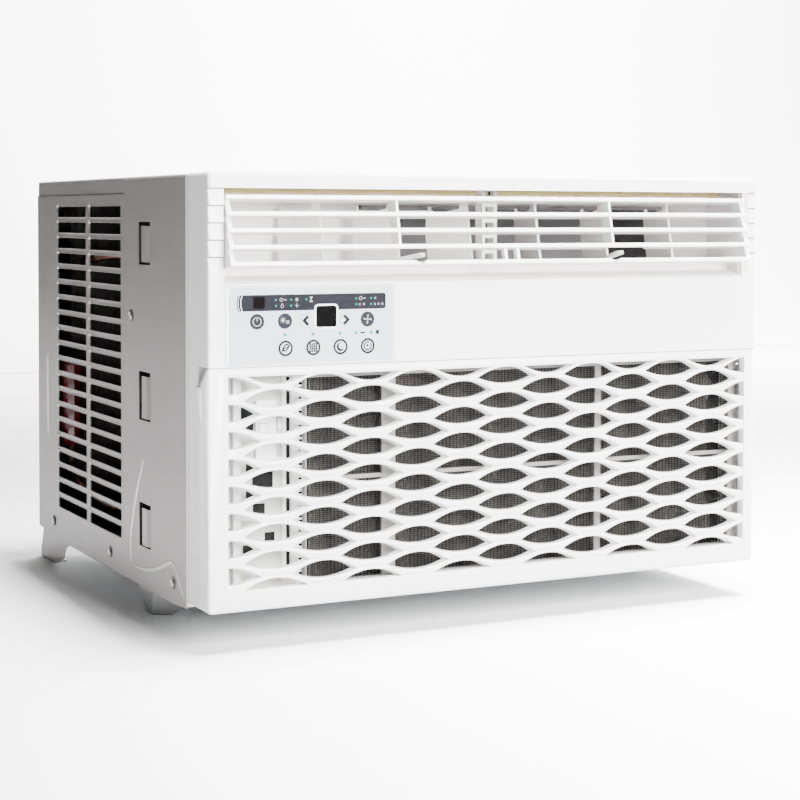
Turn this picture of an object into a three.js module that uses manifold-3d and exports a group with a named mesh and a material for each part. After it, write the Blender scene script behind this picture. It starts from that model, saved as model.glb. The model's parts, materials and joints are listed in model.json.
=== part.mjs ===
// Window air conditioner: slotted steel cabinet, moulded front with control panel,
// tilting louvres, coupled vanes and hinged intake grille, and the refrigeration set inside.
// Millimetres, +Z up. Sub-parts are drawn in the front panel's frame: x to the right,
// y back from the panel's face, z up from the panel's lower edge.
import * as THREE from 'three';
import { mergeVertices } from 'three/addons/utils/BufferGeometryUtils.js';
import Module from 'manifold-3d';

const wasm = await Module();
wasm.setup();

// ---------------------------------------------------------------- driving dimensions
const GAP = 0.3; // between seated pieces
const RUN = 0.35; // radial clearance of pins and keys

const WIDTH = 600;
const DEPTH = 549; // panel face to the cabinet's rear flange
const LEG_H = 37; // panel's lower edge above the surface
const GRILLE_H = 219.6;
const FASCIA_H = 74.3; // key band between the grille and the outlet
const OUTLET_H = 85.9;
const TOP_BEZEL = 14.3; // outlet's top edge to the panel's top
const HALF = WIDTH / 2;
const GRILLE_SEAM = GRILLE_H + 0.7;
const OUTLET_LOW = GRILLE_SEAM + FASCIA_H;
const OUTLET_HIGH = OUTLET_LOW + OUTLET_H;
const PANEL_H = OUTLET_HIGH + TOP_BEZEL;
const PANEL_D = 57;
const PANEL_WALL = 2.5;
const PANEL_CORNER = 4.5;
const PANEL_EDGE = 3;
const INNER_HALF = HALF - PANEL_WALL;

const TOP_STEP = 0.7; // cabinet top below the panel's top
const CABINET_TOP = PANEL_H - TOP_STEP;
const SKIRT_DROP = 7; // cabinet's lower edge below the panel's
const SHEET = 1;
const CABINET_BEND = 5;
const REAR_FLANGE = 26;
const REAR_SILL = 4;
const CABINET_INNER = HALF - SHEET - GAP;

const GRILLE_WRAP = 24.6; // depth of the grille's side walls
const LATTICE_T = 8;
const LATTICE_TOP = GRILLE_H - 6;
const LATTICE_BOTTOM = 19;
const LATTICE_SIDE = HALF - 19;
const LENS_W = 61;
const LENS_RISE = 9.4; // arch above the tips
const LENS_DROP = 5.5; // dip below them
const LENS_PERIOD = 96;
const LENS_PITCH = 24.6;
const LENS_X = 7; // centre of one lens column
const LENS_Z = LATTICE_TOP - 12.2; // tips of that column's top lens
const GRILLE_PIN_Y = 12;
const GRILLE_PIN_Z = 6.5;
const GRILLE_PIN_R = 2;
const GRIP_H = 40;
const GRIP_HIGH = GRILLE_H - 17.6;
const GRIP_LOW = GRIP_HIGH - GRIP_H;
const GRIP_REACH = 7.4;
const GRIP_BULGE = 1.2;

const DECK_T = 2.5;
const DECK_LEFT = -HALF + 104;
const DECK_RIGHT = HALF - 14;
const DECK_LOW = 12.5;
const DECK_HIGH = GRILLE_SEAM - 8.3;
const DECK_FRONT = GRILLE_WRAP + GAP;
const FILTER_T = 6;
const FILTER_RIM = 7;

const OUTLET_SIDE = HALF - 15.5;
const OUTLET_CORNER = 7; // cut corner at the lower right
const OUTLET_FLARE = 6.5; // splay of the right edge
const FLARE_D = 8;
const STEP_PITCH = 15.3;
const STEP_COUNT = 5;
const STEP_RELIEF = 1.8;

const BANK_GAP = 0.8; // blade ends to the opening's sides
const BANK_PIVOT_Y = 30;
const BANK_PIVOT_Z = OUTLET_HIGH - 8.5;
const BANK_TILT = 11.8; // degrees, lower edge forward
const BANK_PROUD = 1.2;
const BANK_TOP = -7.8; // lower edge of the top blade from the tilt axis
const BANK_PITCH = 15.2;
const BANK_TOOTH = 3.8; // saw-tooth front of the end plates
const BLADE_CHORD = 20;
const BLADE_T = 4;
const BANK_END_W = 4.5;
const BANK_PIN_R = 3;
const RIB_X = [-114.5, 119.5];
const GRIP_RIB_X = [-3, 10.5];
const THUMB_X = [-94.5, 120]; // finger notches in the lowest blade
const THUMB_R = 5.2;

const DUCT_WALL = 2.2;
const DUCT_BACK = 106;
const BAFFLE_LEFT = 78; // depth at which each baffle leaves the side wall
const BAFFLE_RIGHT = 64;
const SILL_BACK = 27;
const SILL_RISE = 7.2;
const SILL_WALL_H = 8.2;
const POST_Y = 26;
const POST_D = 13.5;
const POST_HALF = 8.2;
const POST_RAIL = 3.3;
const POST_RUNG = 3.8;
const POST_PITCH = 15;
const SEAL_T = 9;
const SEAL_LOW = OUTLET_HIGH - 3.3;

const VANE_TILT = 12.5; // degrees, top leaning back
const VANE_Y = 36; // pivot at the duct floor
const VANE_Z = OUTLET_LOW + 10.9;
const VANE_COUNT = 6;
const VANE_FIRST = -OUTLET_SIDE + 109.5;
const VANE_LAST = OUTLET_SIDE - 64;
const VANE_X = Array.from({ length: VANE_COUNT }, (_, k) => (
  VANE_FIRST + (k * (VANE_LAST - VANE_FIRST)) / (VANE_COUNT - 1)));
const VANE_TURN = [-31, 4]; // resting angle of each group, degrees
const VANE_T = 2.2;
const VANE_CHORD = 50;
const VANE_NOSE = 5; // plate ahead of the pivot
const VANE_H = 59.5;
const VANE_LIFT = 1.5;
const VANE_EAR_W = 9;
const DUCT_CLEAR = 66; // duct floor to ceiling along the pivots
const VANE_PIN_R = 2;
const LINK_PIN_R = 1.8;
const LINK_BACK = 38; // link pin behind the pivot
const LINK_W = 7;
const LINK_T = 3;
const LINK_PIN_H = 8;
const TAB_L = 28;
const TAB_W = 9;
const TAB_T = 3;
const TAB_Z = 6.8; // at the pivot

const INSERT_LEFT = -HALF + 16;
const INSERT_RIGHT = INSERT_LEFT + 169;
const INSERT_LOW = GRILLE_SEAM + 0.9;
const INSERT_HIGH = OUTLET_LOW - 1.8;
const INSERT_D = 13;
const OVERLAY_LEFT = INSERT_LEFT + 4.4;
const OVERLAY_RIGHT = INSERT_RIGHT - 2.5;
const OVERLAY_LOW = INSERT_LOW + 1.8;
const OVERLAY_HIGH = INSERT_HIGH - 1.8;
const OVERLAY_T = 0.7;
const KEY_D = 5;
const KEY_TRAVEL = 0.7;
const TOP_KEYS_Z = INSERT_LOW + 39.6;
const LOW_KEYS_Z = INSERT_LOW + 14.9;
const KEYS = {
  power_button: { x: INSERT_LEFT + 30.7, z: TOP_KEYS_Z, r: 7 },
  mode_button: { x: INSERT_LEFT + 57.9, z: TOP_KEYS_Z, r: 7 },
  temp_down_button: { x: INSERT_LEFT + 78.6, z: TOP_KEYS_Z, r: 6 },
  temp_up_button: { x: INSERT_LEFT + 118.6, z: TOP_KEYS_Z, r: 6 },
  fan_speed_button: { x: INSERT_LEFT + 140.5, z: TOP_KEYS_Z, r: 7 },
  eco_button: { x: INSERT_LEFT + 58.4, z: LOW_KEYS_Z, r: 7.4 },
  filter_button: { x: INSERT_LEFT + 85.8, z: LOW_KEYS_Z, r: 7.4 },
  sleep_button: { x: INSERT_LEFT + 113.1, z: LOW_KEYS_Z, r: 7.4 },
  timer_button: { x: INSERT_LEFT + 140.6, z: LOW_KEYS_Z, r: 7.4 },
};
const DISPLAY = { x: INSERT_LEFT + 98.8, z: INSERT_LOW + 43, w: 20.5, h: 19.5, corner: 3 };
const IR_WINDOW = { x: INSERT_LEFT + 32.6, z: INSERT_LOW + 56.5, w: 11.6, h: 11, corner: 1.5 };

const SLOT_ROWS = 20;
const SLOT_PITCH = 17;
const SLOT_TOP = CABINET_TOP - 34.6;
const SLOT_H = 11.3;
const SLOT_FRONT = 245;
const SLOT_BACK = DEPTH - 82;
const SLOT_BAR = 13; // solid strip between the two columns
const SLOT_MIDDLE = (SLOT_FRONT + SLOT_BACK) / 2;
const SLOT_COLUMNS = [[SLOT_FRONT, SLOT_MIDDLE - SLOT_BAR / 2], [SLOT_MIDDLE + SLOT_BAR / 2, SLOT_BACK]];
const LANCE_FRONT = 156;
const LANCE_BACK = 190;
const LANCE_TAB = 19;
const LANCE_OUT = 2.2;
const LANCE_SLIT = 2.6;
const LANCES = [[308, 349.5], [156.5, 204], [32.7, 75.5]];
const JOGGLE_FRONT = 235; // recessed band along the top of each side
const JOGGLE_H = 17.5;
const JOGGLE_IN = 1.2;
const LEG_BACK = DEPTH - 8;
const LEG_NOTCH = DEPTH - 18.5; // behind it the side sheet ends higher

const FOOT_X = HALF - 12;
const FOOT_Y = 186;
const FOOT_SHEET = 2;
const FOOT_FLANGE = 16;
const FOOT_TURN = 58; // degrees, front flange from the side web
const GLAND_X = HALF - 20;
const GLAND_Y = 46;
const GLAND_R = 8; // neck in the panel's lower wall
const GLAND_BORE_R = 4.5;

const PAN_SHEET = 1.2;
const PAN_DROP = 4; // pan's underside below the panel's lower edge
const PAN_FRONT = 60;
const PAN_TOE = 29.5; // front lip, inside the moulded front
const PAN_TOE_H = 8;
const PAN_H = 24;
const PAN_FLOOR = -PAN_DROP + PAN_SHEET + GAP; // what stands on the pan starts here
const TOE_FLOOR = PANEL_WALL + GAP + PAN_SHEET + GAP;

const FAN_X = 70;
const FAN_Z = 160;
const DUCT_LEFT = FAN_X - 174; // rear edge of the left baffle
const DUCT_RIGHT = OUTLET_SIDE - 22.5;
const SHAFT_R = 5;
const WHEEL_R = 92;
const WHEEL_FRONT = 122;
const WHEEL_L = 76;
const WHEEL_BLADES = 16;
const SCROLL_FRONT = DUCT_BACK + GAP;
const SCROLL_GAP = 14; // wheel to the volute at the tongue
const SCROLL_GROWTH = 46;
const HOUSING_TOP = BANK_PIVOT_Z + 4.5;
const HOUSING_WALL = 4;
const BULKHEAD_Y = 217;
const MOTOR_R = 60;
const MOTOR_FRONT = 238;
const MOTOR_L = 86;
const COIL_D = 48;
const COIL_FRONT = DEPTH - COIL_D - 5;
const SHROUD_FRONT = COIL_FRONT - 52;
const SHROUD_LEFT = -HALF + 150;
const SHROUD_RIGHT = HALF - 32;
const SHROUD_TOP = CABINET_TOP - 22;
const CONDENSER_FAN_R = 136;
const CONDENSER_FAN_Y = SHROUD_FRONT - 42;
const CONDENSER_FAN_W = 34;
const EVAPORATOR_FRONT = 33.5;
const EVAPORATOR_D = 38;
const EVAPORATOR_LEFT = DECK_LEFT + 8;
const EVAPORATOR_RIGHT = DECK_RIGHT - 24;
const EVAPORATOR_TOP = DECK_HIGH;
const CONDENSER_SIDE = HALF - 24;
const CONDENSER_TOP = CABINET_TOP - 10;
const FIN_RIB_PITCH = 18;
const FIN_RIB = 1.5; // fin bundles stand proud of the coil's face
const END_PLATE = 0.8; // half thickness of a coil's end plate
const COMPRESSOR_X = -HALF + 95;
const COMPRESSOR_Y = 345;
const COMPRESSOR_R = 58;
const COMPRESSOR_H = 225;
const COMPRESSOR_BASE = 12;
const COMPRESSOR_TOP = COMPRESSOR_BASE + COMPRESSOR_H;
const TUBE_R = 4;
const SUCTION_X = EVAPORATOR_LEFT - 10; // where each tube passes the bulkhead
const SUCTION_Z = 142.5;
const LIQUID_X = EVAPORATOR_LEFT - 11;
const LIQUID_Z = 73.5;
const RECEIVER_X = -HALF + 17;
const RECEIVER_Y = COIL_FRONT - 18;
const RECEIVER_R = 13;
const RECEIVER_LOW = 98;
const RECEIVER_H = 99;
const BOX_BACK = 150; // control box, from the pan's toe
const BOX_TOP = GRILLE_H - 11.6;
const CAPACITOR_X = -HALF + 54;
const CAPACITOR_Y = 112;
const CAPACITOR_R = 20;
const CAPACITOR_LOW = 40;
const CAPACITOR_H = 91;

// ---------------------------------------------------------------- solid helpers
const AXIS_X = new THREE.Vector3(1, 0, 0);
const AXIS_Y = new THREE.Vector3(0, 1, 0);
const AXIS_Z = new THREE.Vector3(0, 0, 1);
const radians = THREE.MathUtils.degToRad;

/** Turns a closed three.js geometry into a manifold solid. */
function solid(geometry) {
  const bare = geometry.clone();
  bare.deleteAttribute('normal');
  bare.deleteAttribute('uv');
  const merged = mergeVertices(bare, 1e-4);
  const index = merged.index.array;
  const faces = [];
  for (let i = 0; i < index.length; i += 3) {
    const [a, b, c] = [index[i], index[i + 1], index[i + 2]];
    if (a !== b && b !== c && c !== a) faces.push(a, b, c);
  }
  const vertProperties = new Float32Array(merged.attributes.position.array);
  return new wasm.Manifold(new wasm.Mesh({ numProp: 3, vertProperties, triVerts: new Uint32Array(faces) }));
}

/** Joins solids into one. */
function join(...solids) {
  return solids.reduce((whole, piece) => whole.add(piece));
}

/** Cuts every tool out of a solid. */
function cut(body, ...tools) {
  return tools.length ? body.subtract(join(...tools)) : body;
}

/** Axis-aligned block between two corners. */
function block(x0, x1, y0, y1, z0, z1) {
  const box = new THREE.BoxGeometry(x1 - x0, y1 - y0, z1 - z0);
  return solid(box.translate((x0 + x1) / 2, (y0 + y1) / 2, (z0 + z1) / 2));
}

/** Closed shape through [a, b] points. */
function outline(points) {
  return new THREE.Shape(points.map(([a, b]) => new THREE.Vector2(a, b)));
}

/** Rectangle with rounded corners, centred on (cx, cy). */
function roundedRect(cx, cy, w, h, r) {
  const shape = new THREE.Shape();
  const [l, b] = [cx - w / 2, cy - h / 2];
  shape.moveTo(l + r, b);
  shape.lineTo(l + w - r, b);
  shape.absarc(l + w - r, b + r, r, -Math.PI / 2, 0);
  shape.lineTo(l + w, b + h - r);
  shape.absarc(l + w - r, b + h - r, r, 0, Math.PI / 2);
  shape.lineTo(l + r, b + h);
  shape.absarc(l + r, b + h - r, r, Math.PI / 2, Math.PI);
  shape.lineTo(l, b + r);
  shape.absarc(l + r, b + r, r, Math.PI, Math.PI * 1.5);
  return shape;
}

/** Prism of an (y, z) shape between two x planes. */
function prismX(shape, x0, x1, curveSegments = 3) {
  const prism = new THREE.ExtrudeGeometry(shape, { depth: x1 - x0, bevelEnabled: false, curveSegments });
  prism.applyMatrix4(new THREE.Matrix4().makeBasis(AXIS_Y, AXIS_Z, AXIS_X));
  return solid(prism.translate(x0, 0, 0));
}

/** Prism of an (x, z) shape between two y planes. */
function prismY(shape, y0, y1, curveSegments = 3) {
  const prism = new THREE.ExtrudeGeometry(shape, { depth: y1 - y0, bevelEnabled: false, curveSegments });
  prism.applyMatrix4(new THREE.Matrix4().makeBasis(AXIS_X, AXIS_Z, AXIS_Y.clone().negate()));
  return solid(prism.translate(0, y1, 0));
}

/** Prism of an (x, y) shape between two z planes. */
function prismZ(shape, z0, z1, curveSegments = 3) {
  const prism = new THREE.ExtrudeGeometry(shape, { depth: z1 - z0, bevelEnabled: false, curveSegments });
  return solid(prism.translate(0, 0, z0));
}

/** Round bar along one axis, from a to b, centred on the other two coordinates. */
function rod(axis, r, a, b, c1, c2, sides = 16) {
  const bar = new THREE.CylinderGeometry(r, r, b - a, sides);
  if (axis === 'x') bar.rotateZ(-Math.PI / 2).translate((a + b) / 2, c1, c2);
  if (axis === 'y') bar.translate(c1, (a + b) / 2, c2);
  if (axis === 'z') bar.rotateX(Math.PI / 2).translate(c1, c2, (a + b) / 2);
  return solid(bar);
}

/** Body of revolution about an axis along y through (x, z); profile is [radius, y] points. */
function revolveY(profile, x, z, sides) {
  const points = profile.map(([r, y]) => new THREE.Vector2(r, y));
  return solid(new THREE.LatheGeometry(points, sides).translate(x, 0, z));
}

/** Body of revolution about a vertical axis through (x, y); profile is [radius, z] points. */
function revolveZ(profile, x, y, sides) {
  const points = profile.map(([r, h]) => new THREE.Vector2(r, h));
  return solid(new THREE.LatheGeometry(points, sides).rotateX(Math.PI / 2).translate(x, y, 0));
}

/** Round tube through [x, y, z] points with softened bends. */
function pipe(points, r, steps, sides = 8) {
  const path = new THREE.CatmullRomCurve3(points.map((p) => new THREE.Vector3(...p)), false, 'centripetal');
  const section = new THREE.Shape().absarc(0, 0, r, 0, Math.PI * 2);
  const options = { extrudePath: path, steps, bevelEnabled: false, curveSegments: sides };
  return solid(new THREE.ExtrudeGeometry(section, options));
}

/** Mesh of a solid in its own paint. */
function mesh(name, body, paint) {
  const { numProp, vertProperties, triVerts } = body.getMesh();
  const geometry = new THREE.BufferGeometry();
  const position = new Float32Array((vertProperties.length / numProp) * 3);
  for (let i = 0; i < position.length / 3; i += 1) {
    position.set(vertProperties.subarray(i * numProp, i * numProp + 3), i * 3);
  }
  geometry.setAttribute('position', new THREE.BufferAttribute(position, 3));
  geometry.setIndex(new THREE.BufferAttribute(new Uint32Array(triVerts), 1));
  geometry.computeVertexNormals();
  const part = new THREE.Mesh(geometry, new THREE.MeshStandardMaterial(paint));
  part.name = name;
  return part;
}

// ---------------------------------------------------------------- paints
const WHITE_ABS = { color: 0xf4f3f0, roughness: 0.42, metalness: 0 };
const FILM = { color: 0xe8ecf0, roughness: 0.3, metalness: 0 };
const SLATE = { color: 0x5a5d69, roughness: 0.4, metalness: 0 };
const CABINET_PAINT = { color: 0x9c9894, roughness: 0.35, metalness: 0.5 };
const FOOT_PAINT = { color: 0x6e6d6c, roughness: 0.5, metalness: 0.6 };
const ZINC = { color: 0xb9bcbe, roughness: 0.4, metalness: 0.9 };
const DARK_WINDOW = { color: 0x232323, roughness: 0.12, metalness: 0 };
const VANE_WHITE = { color: 0xf1eeec, roughness: 0.35, metalness: 0 };
const FOAM = { color: 0xc8b26e, roughness: 0.95, metalness: 0 };
const FILTER_NET = { color: 0x6e6962, roughness: 0.8, metalness: 0 };
const BOARD_GREEN = { color: 0x2f6b3f, roughness: 0.6, metalness: 0 };
const FIN_ALUMINIUM = { color: 0xc4c7ca, roughness: 0.35, metalness: 0.9 };
const COPPER = { color: 0xb06a44, roughness: 0.35, metalness: 0.95 };
const BLACK_PAINT = { color: 0x151515, roughness: 0.25, metalness: 0.3 };
const BLACK_PLASTIC = { color: 0x222222, roughness: 0.55, metalness: 0 };
const GREY_PLASTIC = { color: 0x77787a, roughness: 0.6, metalness: 0 };
const SCROLL_GREY = { color: 0x6f6d6e, roughness: 0.8, metalness: 0 };
const RUBBER = { color: 0x1c1c1c, roughness: 0.9, metalness: 0 };

// ---------------------------------------------------------------- shared forms
/** Outer block of the moulded front, with rounded corners and a softened face edge. */
function frontBlock() {
  const r = PANEL_CORNER - PANEL_EDGE;
  const shape = roundedRect(0, PANEL_H / 2, WIDTH - 2 * PANEL_EDGE, PANEL_H - 2 * PANEL_EDGE, r);
  const options = {
    depth: PANEL_D, bevelEnabled: true, bevelSize: PANEL_EDGE, bevelThickness: PANEL_EDGE,
    bevelSegments: 2, curveSegments: 3,
  };
  const geometry = new THREE.ExtrudeGeometry(shape, options);
  geometry.applyMatrix4(new THREE.Matrix4().makeBasis(AXIS_X, AXIS_Z, AXIS_Y.clone().negate()));
  const whole = solid(geometry.translate(0, PANEL_D + PANEL_EDGE, 0));
  return whole.intersect(block(-WIDTH, WIDTH, -1, PANEL_D, -1, PANEL_H + 1));
}

/** Inside of the moulded front, one wall in from the outer block. */
function frontCavity(y0, y1) {
  const [w, h] = [WIDTH - 2 * PANEL_WALL, PANEL_H - 2 * PANEL_WALL];
  return prismY(roundedRect(0, PANEL_H / 2, w, h, PANEL_CORNER - PANEL_WALL), y0, y1);
}

/** Side tongue that the fingers pull, grown by a clearance for its recess. */
function gripTongue(side, grow) {
  const [back, low, high] = [GRILLE_WRAP + GRIP_REACH + grow, GRIP_LOW - grow, GRIP_HIGH + 3 * grow];
  const shape = new THREE.Shape();
  shape.moveTo(GRILLE_WRAP - 12, low);
  shape.lineTo(back - 6, low);
  shape.quadraticCurveTo(back, low, back, low + 8);
  shape.lineTo(back, high - 8);
  shape.quadraticCurveTo(back, high, back - 6, high);
  shape.lineTo(GRILLE_WRAP - 12, high);
  const [a, b] = [INNER_HALF - 4 * grow, HALF + GRIP_BULGE];
  return side > 0 ? prismX(shape, a, b) : prismX(shape, -b, -a);
}

// ---------------------------------------------------------------- moulded front
/** Saw-toothed cutter that leaves the overlapping steps beside the louvres. */
function stepCutter(side) {
  const points = [[-5, OUTLET_HIGH]];
  for (let k = 0; k < STEP_COUNT; k += 1) {
    const top = OUTLET_HIGH - k * STEP_PITCH;
    points.push([STEP_RELIEF, top], [0, top - STEP_PITCH]);
  }
  points.push([-5, OUTLET_HIGH - STEP_COUNT * STEP_PITCH]);
  const [a, b] = [OUTLET_SIDE - 1, HALF + 1];
  return side > 0 ? prismX(outline(points), a, b) : prismX(outline(points), -b, -a);
}

/** Ear on the deck that carries one hinge pin of the grille. */
function hingeEar(side) {
  const x = side * (LATTICE_SIDE + 4.5);
  const arm = block(x - 1.5, x + 1.5, GRILLE_PIN_Y, DECK_FRONT + 1, GRILLE_PIN_Z - 3.4, GRILLE_PIN_Z + 3.4);
  const boss = rod('x', 3.6, x - 1.5, x + 1.5, GRILLE_PIN_Y, GRILLE_PIN_Z, 12);
  const bore = rod('x', GRILLE_PIN_R + RUN, x - 3, x + 3, GRILLE_PIN_Y, GRILLE_PIN_Z, 12);
  return { ear: join(arm, boss), bore };
}

function frontPanel() {
  const [side, splayed, c] = [OUTLET_SIDE, OUTLET_SIDE + OUTLET_FLARE, OUTLET_CORNER];
  const opening = prismY(outline([
    [-side, OUTLET_LOW], [splayed - c, OUTLET_LOW], [splayed, OUTLET_LOW + c],
    [splayed, OUTLET_HIGH], [-side, OUTLET_HIGH],
  ]), -5, PANEL_WALL + 1);
  const flare = prismZ(outline([
    [splayed, 0], [splayed + 2.5, 0], [splayed + 2.5, 2.5], [side + 2, FLARE_D + 1], [side, FLARE_D + 1],
    [side, FLARE_D],
  ]), OUTLET_LOW, OUTLET_HIGH);
  const shelf = block(-INNER_HALF - 1, INNER_HALF + 1, 1, DECK_FRONT + DECK_T, GRILLE_SEAM, GRILLE_SEAM + 2);
  const deck = block(-INNER_HALF - 1, INNER_HALF + 1, DECK_FRONT, DECK_FRONT + DECK_T, 1, GRILLE_SEAM + 1);
  const window = block(DECK_LEFT, DECK_RIGHT, DECK_FRONT - 1, DECK_FRONT + DECK_T + 1, DECK_LOW, DECK_HIGH);
  const insertHole = block(
    INSERT_LEFT, INSERT_RIGHT, -5, DECK_FRONT - 6, INSERT_LOW, INSERT_HIGH);
  const ears = [hingeEar(-1), hingeEar(1)];
  const shell = cut(frontBlock(), frontCavity(PANEL_WALL, PANEL_D + 1),
    block(-WIDTH, WIDTH, -5, DECK_FRONT, -5, GRILLE_SEAM));
  return cut(join(cut(join(shell, shelf, deck, ears[0].ear, ears[1].ear), opening), flare),
    window, insertHole, stepCutter(-1), stepCutter(1), ears[0].bore, ears[1].bore,
    gripTongue(-1, 0.5), gripTongue(1, 0.5), rod('z', GLAND_R + GAP, -1, PANEL_WALL + 1, GLAND_X, GLAND_Y, 10));
}

/** One lens-shaped opening of the wave lattice, with its tips at height tip. */
function lens(cx, tip) {
  const left = new THREE.Vector2(cx - LENS_W / 2, tip);
  const right = new THREE.Vector2(cx + LENS_W / 2, tip);
  const dip = new THREE.QuadraticBezierCurve(left, new THREE.Vector2(cx, tip - 2 * LENS_DROP), right);
  const arch = new THREE.QuadraticBezierCurve(right, new THREE.Vector2(cx, tip + 2 * LENS_RISE), left);
  const points = [...dip.getPoints(3).slice(0, -1), ...arch.getPoints(4).slice(0, -1)];
  return prismY(new THREE.Shape(points), -2, LATTICE_T + 3);
}

/** Every lens of the lattice: columns half a period apart, staggered by half a pitch. */
function lensGrid() {
  const lenses = [];
  const columns = Math.ceil((LATTICE_SIDE + LENS_W / 2) / (LENS_PERIOD / 2));
  for (let i = -columns; i <= columns; i += 1) {
    const cx = LENS_X + (i * LENS_PERIOD) / 2;
    if (Math.abs(cx) > LATTICE_SIDE + LENS_W / 2 - 6) continue;
    const stagger = i % 2 ? LENS_PITCH / 2 : 0;
    for (let tip = LENS_Z + stagger; tip > LATTICE_BOTTOM - LENS_RISE + 2; tip -= LENS_PITCH) {
      lenses.push(lens(cx, tip));
    }
  }
  return join(...lenses);
}

function intakeGrille() {
  const shell = frontBlock().intersect(block(-WIDTH, WIDTH, -1, GRILLE_WRAP, -1, GRILLE_H));
  const hollow = block(-INNER_HALF, INNER_HALF, 3, GRILLE_WRAP + 1, PANEL_WALL, GRILLE_H - PANEL_WALL);
  const opening = block(-LATTICE_SIDE, LATTICE_SIDE, -5, 4, LATTICE_BOTTOM, LATTICE_TOP);
  const shortWrap = block(-INNER_HALF, INNER_HALF, GRILLE_PIN_Y - 1, GRILLE_WRAP + 1, -5, GRILLE_H + 5);
  const heelCut = prismX(outline([
    [GRILLE_WRAP + 1, GRILLE_PIN_Z], [GRILLE_WRAP - 5.6, -3], [GRILLE_WRAP + 1, -3],
  ]), -WIDTH, WIDTH);
  const field = block(-LATTICE_SIDE - 1, LATTICE_SIDE + 1, 0.8, LATTICE_T + 0.8,
    LATTICE_BOTTOM - 1, LATTICE_TOP + 1);
  const frame = cut(shell, hollow, opening, shortWrap, heelCut);
  const fieldLimit = block(-LATTICE_SIDE, LATTICE_SIDE, -3, LATTICE_T + 4, LATTICE_BOTTOM, LATTICE_TOP);
  const lattice = field.subtract(lensGrid().intersect(fieldLimit));
  const pins = [-1, 1].map((side) => {
    const [a, b] = [LATTICE_SIDE + 2.5, INNER_HALF + 1];
    const [x0, x1] = side > 0 ? [a, b] : [-b, -a];
    return rod('x', GRILLE_PIN_R, x0, x1, GRILLE_PIN_Y, GRILLE_PIN_Z, 12);
  });
  const notches = [-1, 1].map((side) => {
    const x = side * (LATTICE_SIDE + 4.5);
    return block(x - 2, x + 2, 3, GRILLE_WRAP, -3, GRILLE_PIN_Z - GRILLE_PIN_R - 1);
  });
  return join(cut(join(frame, lattice, gripTongue(-1, 0), gripTongue(1, 0)), ...notches), ...pins);
}

/** Slide-in filter: rim, two uprights, a crossbar and the net, which is a thin sheet here. */
function airFilter() {
  const [l, r, low, high] = [DECK_LEFT - 2, DECK_RIGHT + 2, DECK_LOW - 1.5, DECK_HIGH + 2];
  const [y0, y1] = [DECK_FRONT - GAP - FILTER_T, DECK_FRONT - GAP];
  const rim = cut(block(l, r, y0, y1, low, high),
    block(l + FILTER_RIM, r - FILTER_RIM, y0 - 1, y1 + 1, low + FILTER_RIM, high - FILTER_RIM));
  const mid = (y0 + y1) / 2;
  const net = block(l + 3, r - 3, mid - 0.4, mid + 0.4, low + 3, high - 3);
  const third = (r - l) / 3;
  const bars = [1, 2].map((k) => block(l + k * third - 3, l + k * third + 3, y0 + 1, y1 - 1, low + 3, high - 3));
  const cross = block(l + 3, r - 3, y0 + 1, y1 - 1, (low + high) / 2 - 2, (low + high) / 2 + 2);
  return join(rim, net, ...bars, cross);
}

// ---------------------------------------------------------------- air outlet
/** Centre height of the duct floor and ceiling at depth y: lift is measured along the vane pivots. */
function ductLine(y, lift) {
  const t = radians(VANE_TILT);
  const [py, pz] = [VANE_Y + lift * Math.sin(t), VANE_Z + lift * Math.cos(t)];
  return pz - (y - py) * Math.tan(t);
}

/** Underside of the duct's hood and ceiling at depth y. */
function ceilingLine(y) {
  const front = VANE_Y + 6.7;
  const start = ductLine(front, DUCT_CLEAR);
  const fall = start - (BANK_PIVOT_Z - 5.7);
  return start - (fall * (y - front)) / (DUCT_BACK - front);
}

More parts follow.
